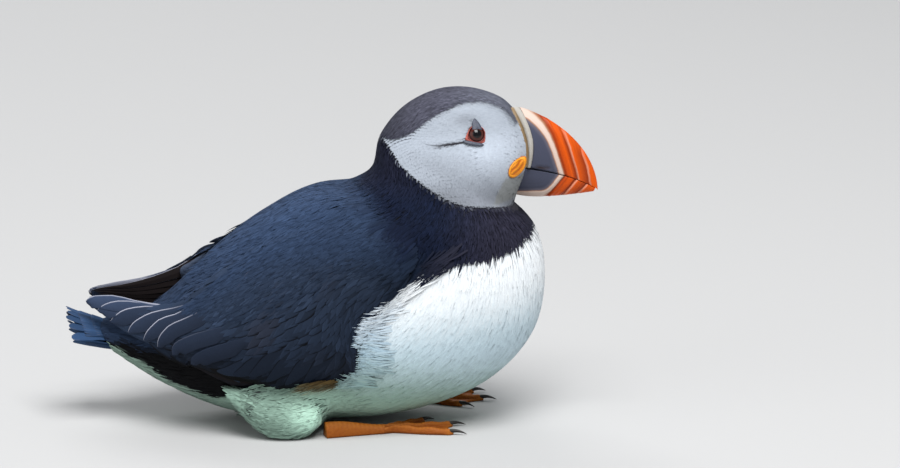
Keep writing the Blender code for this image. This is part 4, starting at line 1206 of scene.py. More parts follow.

# Long feathers placed one by one: (root u, root v, tip u, tip v, half width, lift, strength of the painted
# shadow on the upper edge)
longFeathers = {
    "tipBlades": [
        (96, 0.66, 166, 0.88, 3.2, -0.2, 0), (94, 0.84, 163, 0.97, 2.6, -0.1, 0),
        (112, 0.46, 170, 0.62, 3.2, -0.15, 0),
    ],
    "secondaries": [
        (54, 0.74, 82, 0.94, 3.2, 0.3, -0.7), (60, 0.7, 89, 0.93, 3.3, 0.34, -0.7),
        (66, 0.66, 96, 0.89, 3.3, 0.38, -0.7), (72, 0.62, 102, 0.84, 3.4, 0.42, -0.7),
        (79, 0.62, 109, 0.86, 3.4, 0.44, -0.7), (86, 0.64, 116, 0.9, 3.4, 0.42, -0.7),
    ],
    "tertials": [
        (74, 0.06, 98, 0, 1.7, 0.3, 0), (78, 0.04, 104, -0.01, 1.6, 0.4, 0),
        (83, 0.09, 109, 0.02, 1.8, 0.3, 0), (88, 0.07, 114, 0.01, 1.8, 0.3, 0),
        (94, 0.12, 118, 0.05, 2, 0.3, 0), (98, 0.2, 123, 0.12, 2.2, 0.3, 0),
    ],
}
# The primaries' upper edges, each as (distance along the wing, share of its height) from root to tip,
# and how pale the rims are.
primaryEdges = [
    [(108, 0.1), (123, 0.06), (145, -0.01), (163, -0.04), (171, 0.1), (173.5, 0.4)],
    [(122, 0.06), (140, 0.03), (150, 0.05), (157.2, 0.13), (162.4, 0.3), (165.7, 0.55), (167.3, 0.88)],
    [(112, 0.08), (128, 0.04), (136, 0.05), (143.7, 0.11), (152.4, 0.29), (158.7, 0.66), (161, 1.0)],
    [(104, 0.1), (117, 0.04), (124, 0.04), (131.7, 0.09), (140.2, 0.22), (147.2, 0.47), (152, 0.83),
     (153, 1)],
    [(98, 0.14), (110, 0.08), (118, 0.08), (124, 0.12), (134.2, 0.26), (141.2, 0.54), (145.7, 0.9),
     (146.3, 1)],
    [(98, 0.22), (110, 0.17), (119, 0.19), (127, 0.27), (130.7, 0.35), (134.7, 0.5), (139, 0.78),
     (140.4, 1)],
    [(96, 0.36), (110, 0.36), (119, 0.41), (125, 0.5), (129, 0.6), (132.5, 0.76), (134.3, 1)],
    [(92, 0.48), (106, 0.5), (114, 0.56), (120, 0.66), (124.5, 0.8), (127, 1.0)],
]
primaryRims = array([0.6, 0.7, 0.85, 0.85, 0.85, 0.7, 0.06, 0.0])
quillRing = [(-1, 0), (-0.93, 0.6), (-0.84, 0.8), (-0.12, 1), (0, 1.3), (0.12, 1), (0.84, 0.8), (0.93, 0.6),
             (1, 0), (0, -0.6)]
quillStations = 16

def onWing(v):  # shares of the wing's height kept off its very edges
    return clip(v, 0.02, 0.98)

def straightVanes(rng, side, t, upper):
    # Midlines straight in the wing's own measures, arched a little by a sine, darker at the root as painted
    # shade, with a painted shadow along the upper edge.
    table = array(sum(longFeathers.values(), []))
    arch = np.where(arange(len(table)) < len(table) - len(longFeathers["tertials"]), 0.04, 0.0)[:, None]
    u = mix(table[:, None, 0], table[:, None, 2], t)
    v = mix(table[:, None, 1], table[:, None, 3], t) - arch * sin(pi * t)
    mid, up = wingPoint(u, v, side), wingFrame(u, onWing(v), side)[3]
    mid = mid + up * (table[:, None, 5] - 1.4 * (1 - t) ** 2)[..., None]
    colour = wingColour(mid[:, -1, 0], mid[:, -1, 2]) * uneven(rng, len(table), 0.12)
    tint = colour[:, None, None] * overVane(0.75 + 0.35 * t)
    tint = tint * (1 + upper * table[:, None, None, 6:7] * overVane(smooth(t, 0.1, 0.35)))
    widths = table[:, None, 4] * vaneWidths(quillStations, 0.55)
    return mid, up, np.gradient(mid, axis=1), widths, tint, table[:, :2]

def primaryVanes(rng, side, t, upper, lower):
    # Each primary's upper edge is a smooth curve; its midline lies half a vane below it on the wing,
    # higher for each one over the last, and its rim is pale.
    edges = []
    for points in primaryEdges:
        points = array(points, float)
        steps = np.hypot(np.diff(points[:, 0]), 40 * np.diff(points[:, 1]))
        knots = join([[0], np.cumsum(steps)])
        edges.append(curveThrough(knots, points, knots[-1] * t))
    edges = array(edges)
    n = len(edges)
    order = arange(n)[:, None]
    u, v = edges[..., 0], edges[..., 1]
    ahead = unit(np.gradient(wingPoint(u, v, side), axis=1))
    widths = 3.3 * vaneWidths(quillStations, 0.42) * np.ones((n, 1))
    _p, slopeU, slopeV, normal = wingFrame(u, onWing(v), side)
    du, dv = stepOver(slopeU, slopeV, np.cross(ahead, normal) * (side * widths)[..., None])
    u, v = clip(u + du, 60, 173.5), clip(v + dv, -0.05, 1.0)
    up = wingFrame(u, onWing(v), side)[3]
    mid = wingPoint(u, v, side) + up * (0.05 + 0.15 * order - 1.2 * (1 - t) ** 3)[..., None]
    colour = wingLook["quill"] * uneven(rng, n, 0.1)
    colour = colour * interp(order, (0, 2, 4, 7), (1.75, 1.05, 0.8, 0.6))
    # darker toward the root as painted shade
    tint = colour[:, None, None] * overVane(0.8 + 0.3 * t) * (1 - 0.25 * lower)
    pale = upper * primaryRims[:, None, None, None] * overVane(smooth(t, 0.15, 0.5))
    return mid, up, ahead, widths, mix(tint, wingLook["paleEdge"], pale), edges[:, 0]

def makeLongFeathers(name):
    # Outer faces of the long feathers, then their under faces as narrow brown blades side by side.
    side, k = sides[name], quillStations
    t = alongVane(k)
    rng = seeded(5)
    upper = overRing([p[0] * -side > 0.9 for p in quillRing])
    lower = overRing([p[0] * side for p in quillRing])
    vanes = straightVanes(rng, side, t, upper), primaryVanes(rng, side, t, upper, lower)
    mid, up, ahead, widths, tint, place = (join(q) for q in zip(*vanes))
    tint[:, :, -1] = wingLook["underside"]
    place = unwrapPlace(place[:, 0] + 0.01 * arange(len(place)), place[:, 1])
    tuftPiece("quill_vanes_" + name, wingDress, mid, up, widths, wingLook["quillThick"], quillRing, tint,
              place, 0.45, 0.03, ahead)

    rows = linspace(0.06, 0.9, 8)
    n = len(rows)
    u = mix(np.full((n, 1), 96.0), (172.5 - 12 * rows**1.3)[:, None], t)
    v = rows[:, None] + 0.06 * sin(pi * t)
    p = wingPoint(u, v, side)
    inward = np.broadcast_to(array([0.0, -side, 0.0]), p.shape)
    mid = p + inward * (wingThick(u, v) + 0.1 + 0.12 * arange(n)[::-1, None])[..., None]
    tall = np.linalg.norm(wingPoint(u, 1.0 + 0 * u, side) - wingPoint(u, 0 * u, side), axis=-1)
    widths = clip(tall * 0.085, 0.7, 3.2) * vaneWidths(k, 0.5)
    tint = (wingLook["underside"] * uneven(rng, n, 0.18))[:, None, None] * np.ones((1, k, len(quillRing), 1))
    tint[0, :, 0:1] = tint[0, :, -2:-1] = wingLook["paleEdge"]  # the uppermost is edged pale
    tuftPiece("quill_undersides_" + name, wingDress, mid, inward, widths, wingLook["underThick"], quillRing,
              tint, unwrapPlace(rows, rows**2), 0.3)

def makeQuillBed(name):
    # A thin closed shell that carries the long quills, between their outer and under faces.
    side = sides[name]
    u, v = gridOf(linspace(108, 171.5, 60), linspace(0.04, 0.96, 20))
    points, faces = shellOf(wingPoint(u, v, side, -0.75), wingPoint(u, v, side, -wingThick(u, v) + 0.1))
    # darkened by a quarter as painted shade where the bed shows between the quills
    tint = np.repeat(wingLook["quill"][None] * 0.75, len(points), 0)
    piece = makePiece("quill_bed_" + name, points, faces[:, ::side], marks={"tint": tint},
                      maps={"lie": points[:, [2, 0]]})
    finish(piece, *wingDress, "quills_" + name)

for name in sides:
    for make in (makeCoverts, makeQuillBed, makeLongFeathers):
        make(name)
print("wings ready")

tailLook = {
    "reach": 14.7, "halfAngle": 24.0, "halfWidth": 9.0, "lift": (3.0, 11.5), "arch": 11.0,
    "thick": (8.0, 1.2), "colour": array((0.022, 0.05, 0.112)), "vaneThick": 0.22,
    "sets": (  # how many, face, root, tip, half width, lift: quills above and below, then three of coverts
        (9, 0.5, -0.55, 1.0, 2.9, 0.0), (8, -0.5, -0.55, 0.97, 2.8, 0.0), (26, 0.5, -0.9, 0.55, 1.6, 0.3),
        (30, -0.5, -0.9, 0.6, 1.6, 0.3), (24, 0.5, -1.0, 0.2, 1.4, 0.45),
    ),
}

def tailPoint(u, v, face):
    # u from the body to the tips, v across, face +0.5 on top and -0.5 beneath: a fan of slanted rays on
    # an arch that falls off by the square of v.
    topX, topZ, footX, footZ = bodySections["tailRoot"][:4]
    slant = radians(tailLook["halfAngle"]) * v
    reach = tailLook["reach"] * (1 - 0.22 * v**2)
    y = v * tailLook["halfWidth"] + u * reach * sin(slant)
    middle = (topZ + footZ) / 2 + mix(*tailLook["lift"], u) - tailLook["arch"] * v**2 * (0.4 + 0.6 * u)
    deep, thin = tailLook["thick"]
    z = middle + face * (thin + (deep - thin) * (1 - held(u)) * (1 - 0.5 * v**2))
    start = topX - 0.45 + (topZ - z) * (footX - topX) / (topZ - footZ)
    return stack([mix(start, topX - 0.3 - reach * cos(slant), u), y, z], -1)

def makeTail():
    # Quills in a fan, the middle ones on top, and short coverts over their roots and beneath.
    rng = seeded(8)
    k = 12
    t = alongVane(k)
    vanes = []
    for count, face, low, high, half, lift in tailLook["sets"]:
        v = linspace(-0.95, 0.95, count)[:, None]
        notch = hump(v, -0.15, 0.22) if count < 10 else 0.0  # two rounded lobes
        u = mix(low, high * (1 - 0.04 * rng.uniform(0, 1, (count, 1)) - 0.1 * notch), t)
        p = tailPoint(u, v * (0.9 + 0.1 * held(u)), face)
        up = unit(np.broadcast_to(upward * np.sign(face), p.shape) + array([0, 0.9, 0]) * v[..., None])
        layered = lift + 0.25 * (1 - abs(v)) - 0.8 * (1 - t) ** 2
        widths = half * rng.uniform(0.9, 1.1, (count, 1)) * vaneWidths(k, 0.32)
        vanes.append((p + up * layered[..., None], up, widths))
    mid, up, widths = (join(q) for q in zip(*vanes))
    # darker toward the root as painted shade
    tint = (tailLook["colour"] * uneven(rng, len(mid), 0.15))[:, None, None] * overVane(0.8 + 0.3 * t)
    rim = overVane(smooth(t, 0.8, 1.0)) * overRing([1, 0.6, 0, 0, 0, 0.6, 1, 1])
    tuftPiece("tail_quills", (*wingDress, "tail"), mid, up, widths, tailLook["vaneThick"], vaneRing,
              mix(tint, wingLook["paleEdge"] * 0.4, 0.35 * rim),
              unwrapPlace(mid[:, 0, 0] + mid[:, 0, 2], mid[:, 0, 1]), 0.35)

makeTail()
print("tail ready")

billLook = {
    "culmen": ((76.4, 132), (92, 128.5), (110.4, 115), (111, 97.2)),
    "tomium": ((81.6, 108.2), (90, 106.2), (100, 104.6), (110.4, 98.2)),
    "gonys": ((75, 96.2), (84, 93.6), (98, 95.2), (109.6, 97)),
    "halfWidth": (7.6, 1.3), "rimWidth": 2.6, "rimHalfWidth": 8.7, "rimGap": 0.6,
    "grooves": (1.75, 6.1, 10.9), "grooveDepth": 0.42, "grooveWidth": 0.42, "rows": 160, "columns": 54,
    "bandRise": 0.28, "bandHalf": 2.5, "slitDepth": 0.6,
}
# The cream band's middle on the upper horn in side view, as (height, x).
creamUpper = array([
    (96, 97.2), (104.2, 95.9), (110.6, 94.0), (116.3, 92.1), (122.0, 89.2), (126.7, 85.3), (130.6, 79.8),
    (134, 72.0),
])
# For each horn: its edges, how far round to its tip it goes, its gap from the face and its drop.
horns = {
    "upper": ("culmen", "tomium", 1.0, billLook["rimWidth"] + billLook["rimGap"], 0.0),
    "lower": ("tomium", "gonys", 0.985, -1.2, 0.3),
}
mirror = array([1.0, -1.0, 1.0])

def cubic(points, t):  # a curve pulled toward its two middle points, by the cubic blend of the four
    a, b, c, d = (array(p) for p in points)
    t = asarray(t)[..., None]
    return a * (1 - t) ** 3 + b * 3 * t * (1 - t) ** 2 + c * 3 * t**2 * (1 - t) + d * t**3

def faceFront(z):  # how far forward the feathered face reaches at a height
    topX, topZ, footX, footZ, _wide, _round, bow = bodySections["billBase"]
    down = held((topZ - z) / (topZ - footZ))
    return topX + (footX - topX) * down + bow * 4 * down * (1 - down)

def billSide(which, rows, columns):
    # One side of a horn between two side-view curves; it swells from the ridge as a powered curve.
    upper, lower, end, gap, _drop = horns[which]
    u, v = gridOf(linspace(0, end, rows), linspace(0, 1, columns))
    v = v**1.8 if which == "upper" else 1 - (1 - v) ** 1.8
    side = mix(cubic(billLook[upper], u), cubic(billLook[lower], u), v[..., None])
    x, z = side[..., 0], side[..., 1]
    x = x + (1 - u) ** 2 * (faceFront(z[0]) + gap * mix(1.0, 0.6, v[0] ** 3) - x[0])
    fromRidge = v if which == "upper" else 1 - v
    base, tip = billLook["halfWidth"]
    wide = (tip + (base - tip) * (1 - u) ** 0.8) * (1 - (1 - fromRidge) ** 2.4) ** 0.55
    return stack([x, -wide, z], -1)

def upperBand(x, z):  # distance ahead of the cream band, square to it
    slope = (heightOf(creamUpper, z + 0.2) - heightOf(creamUpper, z - 0.2)) / 0.4
    return (x - heightOf(creamUpper, z)) / np.sqrt(1 + slope**2)

def lowerBand(x, z):
    # Ahead of a slanted line or below a level one, whichever is more; the level part stops at cream.
    slanting = (x - 96.4 + (105.2 - z) * 0.8) * 0.78
    level = np.minimum(96.9 - z + 0.02 * (x - 80), 0.5)
    return np.log(np.exp(1.6 * slanting) + np.exp(1.6 * level)) / 1.6

def hornRelief(band, slit):  # a raised cream band, grooves each with a lip ahead, fine waves and the nostril
    relief = billLook["bandRise"] * hump(band, 0, 1.0)
    for groove in billLook["grooves"]:
        relief = relief - billLook["grooveDepth"] * hump(band, groove, billLook["grooveWidth"])
        relief = relief + 0.16 * hump(band, groove + 0.9, 0.55)
    return relief + 0.05 * sin(band * 5.1) * smooth(band, 1.5, 3) - billLook["slitDepth"] * slit

def makeHorn(which):
    # The right side is raised by its relief, then mirrored and closed into a tube.
    isUpper = which == "upper"
    right = billSide(which, billLook["rows"], billLook["columns"]) - upward * horns[which][-1]
    normal = unit(np.cross(np.gradient(right, axis=0), np.gradient(right, axis=1)))
    normal = normal * -np.sign(normal[..., 1:2])
    x, z = right[..., 0], right[..., 2]
    band = upperBand(x, z) if isUpper else lowerBand(x, z)
    ridge = np.broadcast_to(linspace(0, 1, billLook["columns"]), band.shape)
    # The cream band is broader toward the ridge; beyond the first groove the painted groove shade and
    # highlights show fully only toward the mouth.
    spread = mix(1.6, 0.95, smooth(ridge, 0.1, 0.8)) if isUpper else 0.85
    edge = billLook["bandHalf"]
    eased = band + np.sign(band) * (edge / spread - edge) * held(2 - abs(band) / edge)
    band = np.where(abs(band) < edge, band / spread, eased)
    slit = 0 * band
    if isUpper:  # the nostril, low on the slate part
        slit = np.exp(-(((x - 88.0) / 3.0) ** 4)) * hump(z + 0.12 * (x - 88), 107.9, 0.45)
    relief = hornRelief(band, slit) * smooth(abs(right[..., 1]), 0.0, 1.2)
    right = right + normal * relief[..., None]
    if isUpper:
        right[:, 0, 1] = 0.0
    lines = np.where(band < 3, 1.0, 0.35 + 0.65 * smooth(ridge if isUpper else 1.2 - 0.6 * ridge, 0.12, 0.5))
    marks = {"band": band, "slit": slit, "lines": lines}
    marks = {label: join([m, m[:, ::-1]], 1) for label, m in marks.items()}
    closedLoft(which + "_horn", (hornMaterial, "bill_horn", "bill_" + which),
               join([right, (right * mirror)[:, ::-1]], 1), marks)

def makeGrowth():
    # Horn's growth lines: a noise drawn out along the bands, so it changes quickly across them, and a
    # patchy one for wear.
    tree, given, out = newGroup("hornGrowth", {"Band": 0.0, "Fine": 6.0, "Wear": 0.5}, ("Height", "Wear"))
    place = objectPlace(tree)
    scaledPlace = addNode(tree, "VectorMath", {0: place, "Scale": 60.0}, operation="SCALE")[0]
    parts = addNode(tree, "SeparateXYZ", {0: scaledPlace})
    across = sums(tree, "MULTIPLY", given["Band"], given["Fine"])
    joined = addNode(tree, "CombineXYZ", {"X": across, "Y": parts["Y"], "Z": parts["Z"]})[0]
    lines = addNode(tree, "TexNoise", {"Scale": 1.0, "Detail": 3.0, "Vector": joined})["Fac"]
    patches = {"Scale": 260.0, "Detail": 5.0, "Roughness": 0.65, "Vector": place}
    patches = addNode(tree, "TexNoise", patches)["Fac"]
    feed(tree, out, {"Height": lines, "Wear": sums(tree, "MULTIPLY", patches, given["Wear"])})
    return tree

growth = makeGrowth()
hornLook = {
    "slate": (0.058, 0.066, 0.105), "slateEdge": (0.12, 0.115, 0.15), "cream": (0.66, 0.53, 0.46),
    # the grooves' dark colour is painted shade, and the pale line after each groove is a painted highlight
    "creamEdge": (0.38, 0.19, 0.11), "grooveShade": (0.3, 0.036, 0.003), "orange": (0.68, 0.092, 0.0015),
    "deepOrange": (0.5, 0.062, 0.002), "grooveHighlight": (0.72, 0.3, 0.19), "red": (0.7, 0.09, 0.0015),
    "worn": (0.8, 0.72, 0.68), "slit": (0.04, 0.026, 0.026),
    # Colours from behind to ahead of the cream band's middle, in millimetres.
    "stops": (
        (-6.0, "slate"), (-2.6, "slate"), (-1.3, "slateEdge"), (-0.95, "creamEdge"), (-0.6, "cream"),
        (0.75, "cream"), (1.15, "creamEdge"), (1.7, "grooveShade"), (2.6, "deepOrange"), (4.4, "orange"),
        (5.6, "grooveShade"), (6.1, "grooveShade"), (6.6, "grooveHighlight"), (7.1, "orange"), (10.1, "grooveShade"),
        (10.6, "grooveShade"), (11.1, "grooveHighlight"), (11.6, "orange"), (16.0, "red"),
    ),
}

def makeHornMaterial():
    # The band number picks the colour: slate behind the cream band, then orange with painted shade in the
    # grooves and a painted highlight after each.
    look = hornLook
    low, high = look["stops"][0][0], look["stops"][-1][0]
    material, tree, shader = newMaterial("billHorn")
    band, slit, lines = (markOf(tree, label)["Fac"] for label in ("band", "slit", "lines"))
    group = placed(tree, growth, {"Fine": 5.0, "Wear": 1.0, "Band": band})
    shifted = sums(tree, "MULTIPLY_ADD", sums(tree, "SUBTRACT", group["Wear"], 0.5), 0.7, band)
    place = sums(tree, "MULTIPLY_ADD", shifted, 1 / (high - low), -low / (high - low))
    stops = [((at - low) / (high - low), look[name]) for at, name in look["stops"]]
    banded = addNode(tree, "MixRGB", {
        "Fac": lines, "Color1": look["orange"], "Color2": rampOver(tree, place, stops)})["Color"]
    worn = addNode(tree, "MixRGB", {
        "Fac": sums(tree, "MULTIPLY", group["Height"], 0.8), "Color1": banded, "Color2": look["worn"]},
        blend_type="MULTIPLY")["Color"]
    dark = addNode(tree, "MixRGB", {"Fac": slit, "Color1": worn, "Color2": look["slit"]})["Color"]
    rough = sums(tree, "MULTIPLY_ADD", group["Wear"], 0.3, 0.3)
    feed(tree, shader, {"Base Color": dark, "Roughness": rough, "Specular IOR Level": 0.18})
    roughen(tree, shader, group["Height"], 0.5, 0.00012)
    return material

hornMaterial = makeHornMaterial()
for which in horns:
    makeHorn(which)

def makeScales():
    # Rounded cells with creases between, one less the square of the distance, over a slow cloud.
    tree, given, out = newGroup("skinCells", {"Cell": 1500.0, "Cloud": 200.0}, ("Height", "Mask"))
    place = objectPlace(tree)
    cells = addNode(tree, "TexVoronoi", {"Vector": place, "Scale": given["Cell"]})["Distance"]
    cloud = addNode(tree, "TexNoise", {"Detail": 4.0, "Vector": place, "Scale": given["Cloud"]})["Fac"]
    dome = sums(tree, "SUBTRACT", 1.0, sums(tree, "MULTIPLY", cells, cells))
    feed(tree, out, {"Height": dome, "Mask": sums(tree, "MULTIPLY", dome, cloud)})
    return tree

scales = makeScales()

def fleshMaterial(name, cell, cloudy, deep, pale, rough, specular, bump, mark=None):
    # Two colours mixed by cells and a cloud, about the piece's own mark where it has one.
    material, tree, shader = newMaterial(name)
    group = placed(tree, scales, {"Cell": cell, "Cloud": cloudy})
    share = group["Mask"]
    if mark:
        shift = sums(tree, "SUBTRACT", share, 0.5)
        share = sums(tree, "MULTIPLY_ADD", shift, 0.5, markOf(tree, mark)["Fac"])
    mixed = addNode(tree, "MixRGB", {"Fac": share, "Color1": deep, "Color2": pale})["Color"]
    roughness = sums(tree, "MULTIPLY_ADD", group["Mask"], 0.2, rough)
    feed(tree, shader, {"Base Color": mixed, "Roughness": roughness, "Specular IOR Level": specular})
    roughen(tree, shader, group["Height"], bump, 0.0002)
    return material

fleshes = {  # sizes of cells and cloud, deep and pale colours, roughness, specular, bump and mark
    "rimHorn": (1400.0, 300.0, (0.24, 0.16, 0.08), (0.38, 0.365, 0.335), 0.45, 0.3, 0.5, "pale"),
    "rosetteSkin": (1800.0, 500.0, (0.5, 0.125, 0.006), (0.84, 0.33, 0.014), 0.42, 0.3, 0.5, "fold"),
    "eyePlateHorn": (2200.0, 500.0, (0.035, 0.04, 0.06), (0.11, 0.125, 0.165), 0.34, 0.3, 0.4),
    "lidSkin": (2600.0, 700.0, (0.1, 0.01, 0.007), (0.5, 0.13, 0.1), 0.42, 0.3, 0.5, "fold"),
    "footSkin": (900.0, 160.0, (0.22, 0.048, 0.004), (0.39, 0.13, 0.012), 0.55, 0.2, 0.7, "raised"),
    "clawHorn": (700.0, 240.0, (0.008, 0.007, 0.007), (0.035, 0.028, 0.024), 0.3, 0.3, 0.3),
}
fleshes = {name: fleshMaterial(name, *values) for name, values in fleshes.items()}

def makeRim():
    # A pale pitted strip over the base of the upper horn, which swells across itself as a sine.
    edge = billSide("upper", 2, 110)[0]
    ring = join([edge[::-1], (edge * mirror)[1:]])
    along = linspace(-1, 1, len(ring))[None]
    across = linspace(-0.5, 1, 24)[:, None]
    level = 0 * along + 0 * across
    swell = sin(pi * held(0.06 + 0.88 * across)) + 0.1 * held(-across)
    broad = interp(abs(along), (0, 0.12, 0.3, 0.7, 1), (0.95, 1.08, 1.14, 1.0, 0.55))
    broad = billLook["rimWidth"] * broad
    pits = wave(stack([across * 3 + level, along * 40 + level, level], -1), 1.1, 4)
    out = (billLook["rimHalfWidth"] / billLook["halfWidth"][0] - 1) * swell + 0.004 * pits
    shape = np.repeat(ring[None], len(across), axis=0)
    shape[..., 0] = faceFront(ring[:, 2]) + 0.3 + broad * across
    shape[..., 1] *= 1 + out
    shape[..., 2] += 0.9 * out * held(1 - abs(along) * 2) + 0.15 * swell
    inner = shape.copy()
    inner[..., 1] *= 0.86
    inner[..., 2] -= 0.9 * held(1 - abs(along) * 3)
    pale = 0.05 + 0.95 * smooth(across, 0.04, 0.2) + level
    slab("bill_rim_strip", (fleshes["rimHorn"], "bill_rim", "bill_rim"), shape, inner, {"pale": pale}, True)

makeRim()

rosetteLook = {"x": 77.4, "z": 109.6, "half": (4.5, 2.9), "tilt": 52, "deep": 1.3, "dome": 0.95}

def makeRosette(name):
    # An oval pad of folded skin, domed as a half round: rings and lengthwise wrinkles, with a thick
    # rolled edge.
    side, look = sides[name], rosetteLook
    radius, turn = gridOf(linspace(0, 1, 30), around(80))
    a, b = look["half"][0] * radius * cos(turn), look["half"][1] * radius * sin(turn)
    a = a * (1 + 0.22 * held(cos(turn + 0.15)) ** 6 * radius)  # drawn out to a point
    tilt = math.radians(look["tilt"])
    x = look["x"] + a * math.cos(tilt) - b * math.sin(tilt)
    z = look["z"] + a * math.sin(tilt) + b * math.cos(tilt)
    edge = hump(radius - 0.02 * sin(turn * 5), 0.86, 0.12)
    wrinkle = cos(b * 3.3 + 0.9 * sin(a * 1.0 + 1) + 0.35 * a) * smooth(0.8 - radius, 0, 0.15)
    fold = maximum(2 * edge - 1, 0.75 * wrinkle * (1 - edge) - 0.25)
    base = maximum(sideOfBody(np.minimum(x, 78.6), z), 8.2) - 0.16 * clip(x - 78.6, 0, 9)
    dome = look["dome"] * np.sqrt(1 - 0.92 * radius**2) + 0.22 * fold * smooth(1 - radius, 0, 0.15)
    faces = [stack([x, side * y, z], -1) for y in (base - 0.1 + dome, base - look["deep"])]
    rings = join([faces[0], faces[1][::-1]])[1:-1]
    mark = join([0.5 + 0.5 * fold, 0 * fold[::-1]])[1:-1]
    closedLoft("gape_rosette_" + name, (fleshes["rosetteSkin"], "gape_rosette", "rosette_" + name), rings,
               {"fold": mark}, side < 0)

for name in sides:
    makeRosette(name)
print("bill ready")

eyeColours = (
    (0.0, (0.002, 0.002, 0.003)), (0.42, (0.002, 0.002, 0.003)), (0.49, (0.04, 0.01, 0.007)),
    (0.66, (0.075, 0.014, 0.009)), (0.8, (0.03, 0.006, 0.005)), (1.0, (0.012, 0.004, 0.004)),
)

def makeEyeMaterial():
    # The angle from the eye's axis picks pupil, iris and rim; fibres run outward from the pupil.
    material, tree, shader = newMaterial("eyeball")
    fibres = addNode(tree, "TexNoise", noise_dimensions="1D")
    feed(tree, fibres["Fac"].node, {"Scale": 9.0, "Detail": 4.0, "W": markOf(tree, "fibre")["Fac"]})
    shift = sums(tree, "SUBTRACT", fibres["Fac"], 0.5)
    away = sums(tree, "MULTIPLY_ADD", shift, 0.1, markOf(tree, "away")["Fac"])
    feed(tree, shader, {
        "Base Color": rampOver(tree, away, eyeColours), "Roughness": 0.12, "Specular IOR Level": 0.2,
        "Coat Weight": 0.3, "Coat Roughness": 0.02})
    return material

eyeMaterial = makeEyeMaterial()

def outFrom(axes, turn):  # directions round an eye's axis: 0 is forward and a quarter turn is up
    _axis, aside, above = axes
    return cos(turn)[..., None] * aside + sin(turn)[..., None] * above

def makeEyeball(name, side, centre, axes):
    # A sphere swept from its axis, fuller in front for the cornea.
    away, turn = gridOf(linspace(0.02, pi - 0.02, 60), around(72))
    radius = 4.2 + 0.22 * hump(away, 0, 0.55)
    out = cos(away)[..., None] * axes[0] + sin(away)[..., None] * outFrom(axes, turn)
    marks = {"away": held(away / 0.92), "fibre": turn / (2 * pi) * 6}
    closedLoft("eyeball_" + name, (eyeMaterial, "eye", "eye_" + name), centre + radius[..., None] * out,
               marks, side < 0)

def makeLid(name, side, centre, axes):
    # A thin rolled ring of red skin, drawn out to a corner behind and a smaller one ahead. Its height is
    # a powered sine across it, less a share of the square of the distance out.
    across, turn = gridOf(linspace(0, 1, 20), around(120))
    low = 3.15 + 0.02 * sin(turn * 9)
    reach = mix(low, lidReach(turn) + 0.05 * sin(turn * 13), across)
    fold = 0.05 + 0.95 * smooth(across, 0.35, 0.7) - 0.3 * smooth(across, 0.9, 1.0)
    fold = held(fold + 0.08 * sin(turn * 17))
    height = 2.8 + 0.45 * sin(pi * held(across * 0.9 + 0.02)) ** 0.7
    height = height - 0.035 * (reach**2 - low**2) - 0.1 * across**4
    height = height + 0.03 * sin(turn * 31) * sin(pi * across)
    top = centre + axes[0] * height[..., None] + outFrom(axes, turn) * reach[..., None]
    rings = join([top, (top - axes[0] * 1.3)[::-1]])
    rows, columns = rings.shape[:2]
    faces = gridQuads(rows + 1, columns, True) % (rows * columns)  # the last ring joins the first
    mark = join([fold, 0 * fold[::-1]]).ravel()
    finish(makePiece("lid_" + name, rings.reshape(-1, 3), faces[:, ::side], marks={"fold": mark}),
           fleshes["lidSkin"], "eye_plate")

def makePlate(name, side, which, x, z, rise, turned):  # a piece of horn that lies on the head by a side view
    outer, inner = (stack([x, side * (sideOfBody(x, z) + out), z], -1) for out in (rise, -0.8))
    slab(f"plate_{which[0]}_{name}", (fleshes["eyePlateHorn"], "eye_plate", f"eye_plate_{which[1]}_{name}"),
         outer, inner, turned=turned)

def makePlates(name, side):
    # Above, a rounded tooth, widest at its foot; below, a bar that droops forward. Both are domed across.
    up, across = gridOf(linspace(0, 1, 26), linspace(-1, 1, 26))
    x = 61.0 + across * 2.05 * (1 - up**1.6) ** 0.7 - 1.2 * up
    z = 127.0 + 3.9 * up - 0.5 * abs(across) ** 1.5 * (1 - up)
    dome = np.sqrt(held(1 - (0.98 * abs(across)) ** 2.4)) * (1 - 0.85 * up**3)
    rise = 0.15 + 0.85 * dome * (1 - 0.25 * up) + 0.05 * cos(across * 9)
    makePlate(name, side, ("above", "upper"), x, z, rise, side > 0)
    along, across = gridOf(linspace(-1, 1, 40), linspace(-1, 1, 16))
    x = 59.3 + along * 4.3
    z = 121.4 - 0.85 * along - 0.2 * (1 - along**2) + across * 0.8 * (1 - 0.75 * abs(along) ** 3.0)
    dome = np.sqrt(held(1 - (0.98 * abs(across)) ** 2.2)) * (1 - 0.7 * abs(along) ** 6)
    makePlate(name, side, ("below", "lower"), x, z, 0.2 + 0.75 * dome + 0.05 * cos(across * 8), side < 0)

for name, side in sides.items():
    centre, axes = eyeCentre * array([1.0, side, 1.0]), eyeAxes(side)
    makeEyeball(name, side, centre, axes)
    makeLid(name, side, centre, axes)
    makePlates(name, side)
print("eyes ready")

footLook = {
    "toes": ((-27.0, 23.5), (-2.0, 30.5), (23.0, 29.5)), "halfWidth": (1.9, 1.35), "share": 0.2,
    "height": (3.3, 2.3), "web": 0.9, "notch": 2.6, "claw": 5.2, "clawRadius": 0.95, "rootHalf": 2.6,
    "rootHeight": 3.3, "fine": (128, 52), "tarsusFrom": 2.4, "tarsusPast": 0.4,
}

def planLine(name):  # heel and toe root on the ground, the way from one to the other, and what is left of it
    side = sides[name]
    heel, root = (array([x, side * y]) for x, y in (legs["heel"][name], legs["toeRoot"][name]))
    length = np.linalg.norm(root - heel)
    ahead = (root - heel) / length
    return heel, root, length, ahead, array([-ahead[1], ahead[0]])

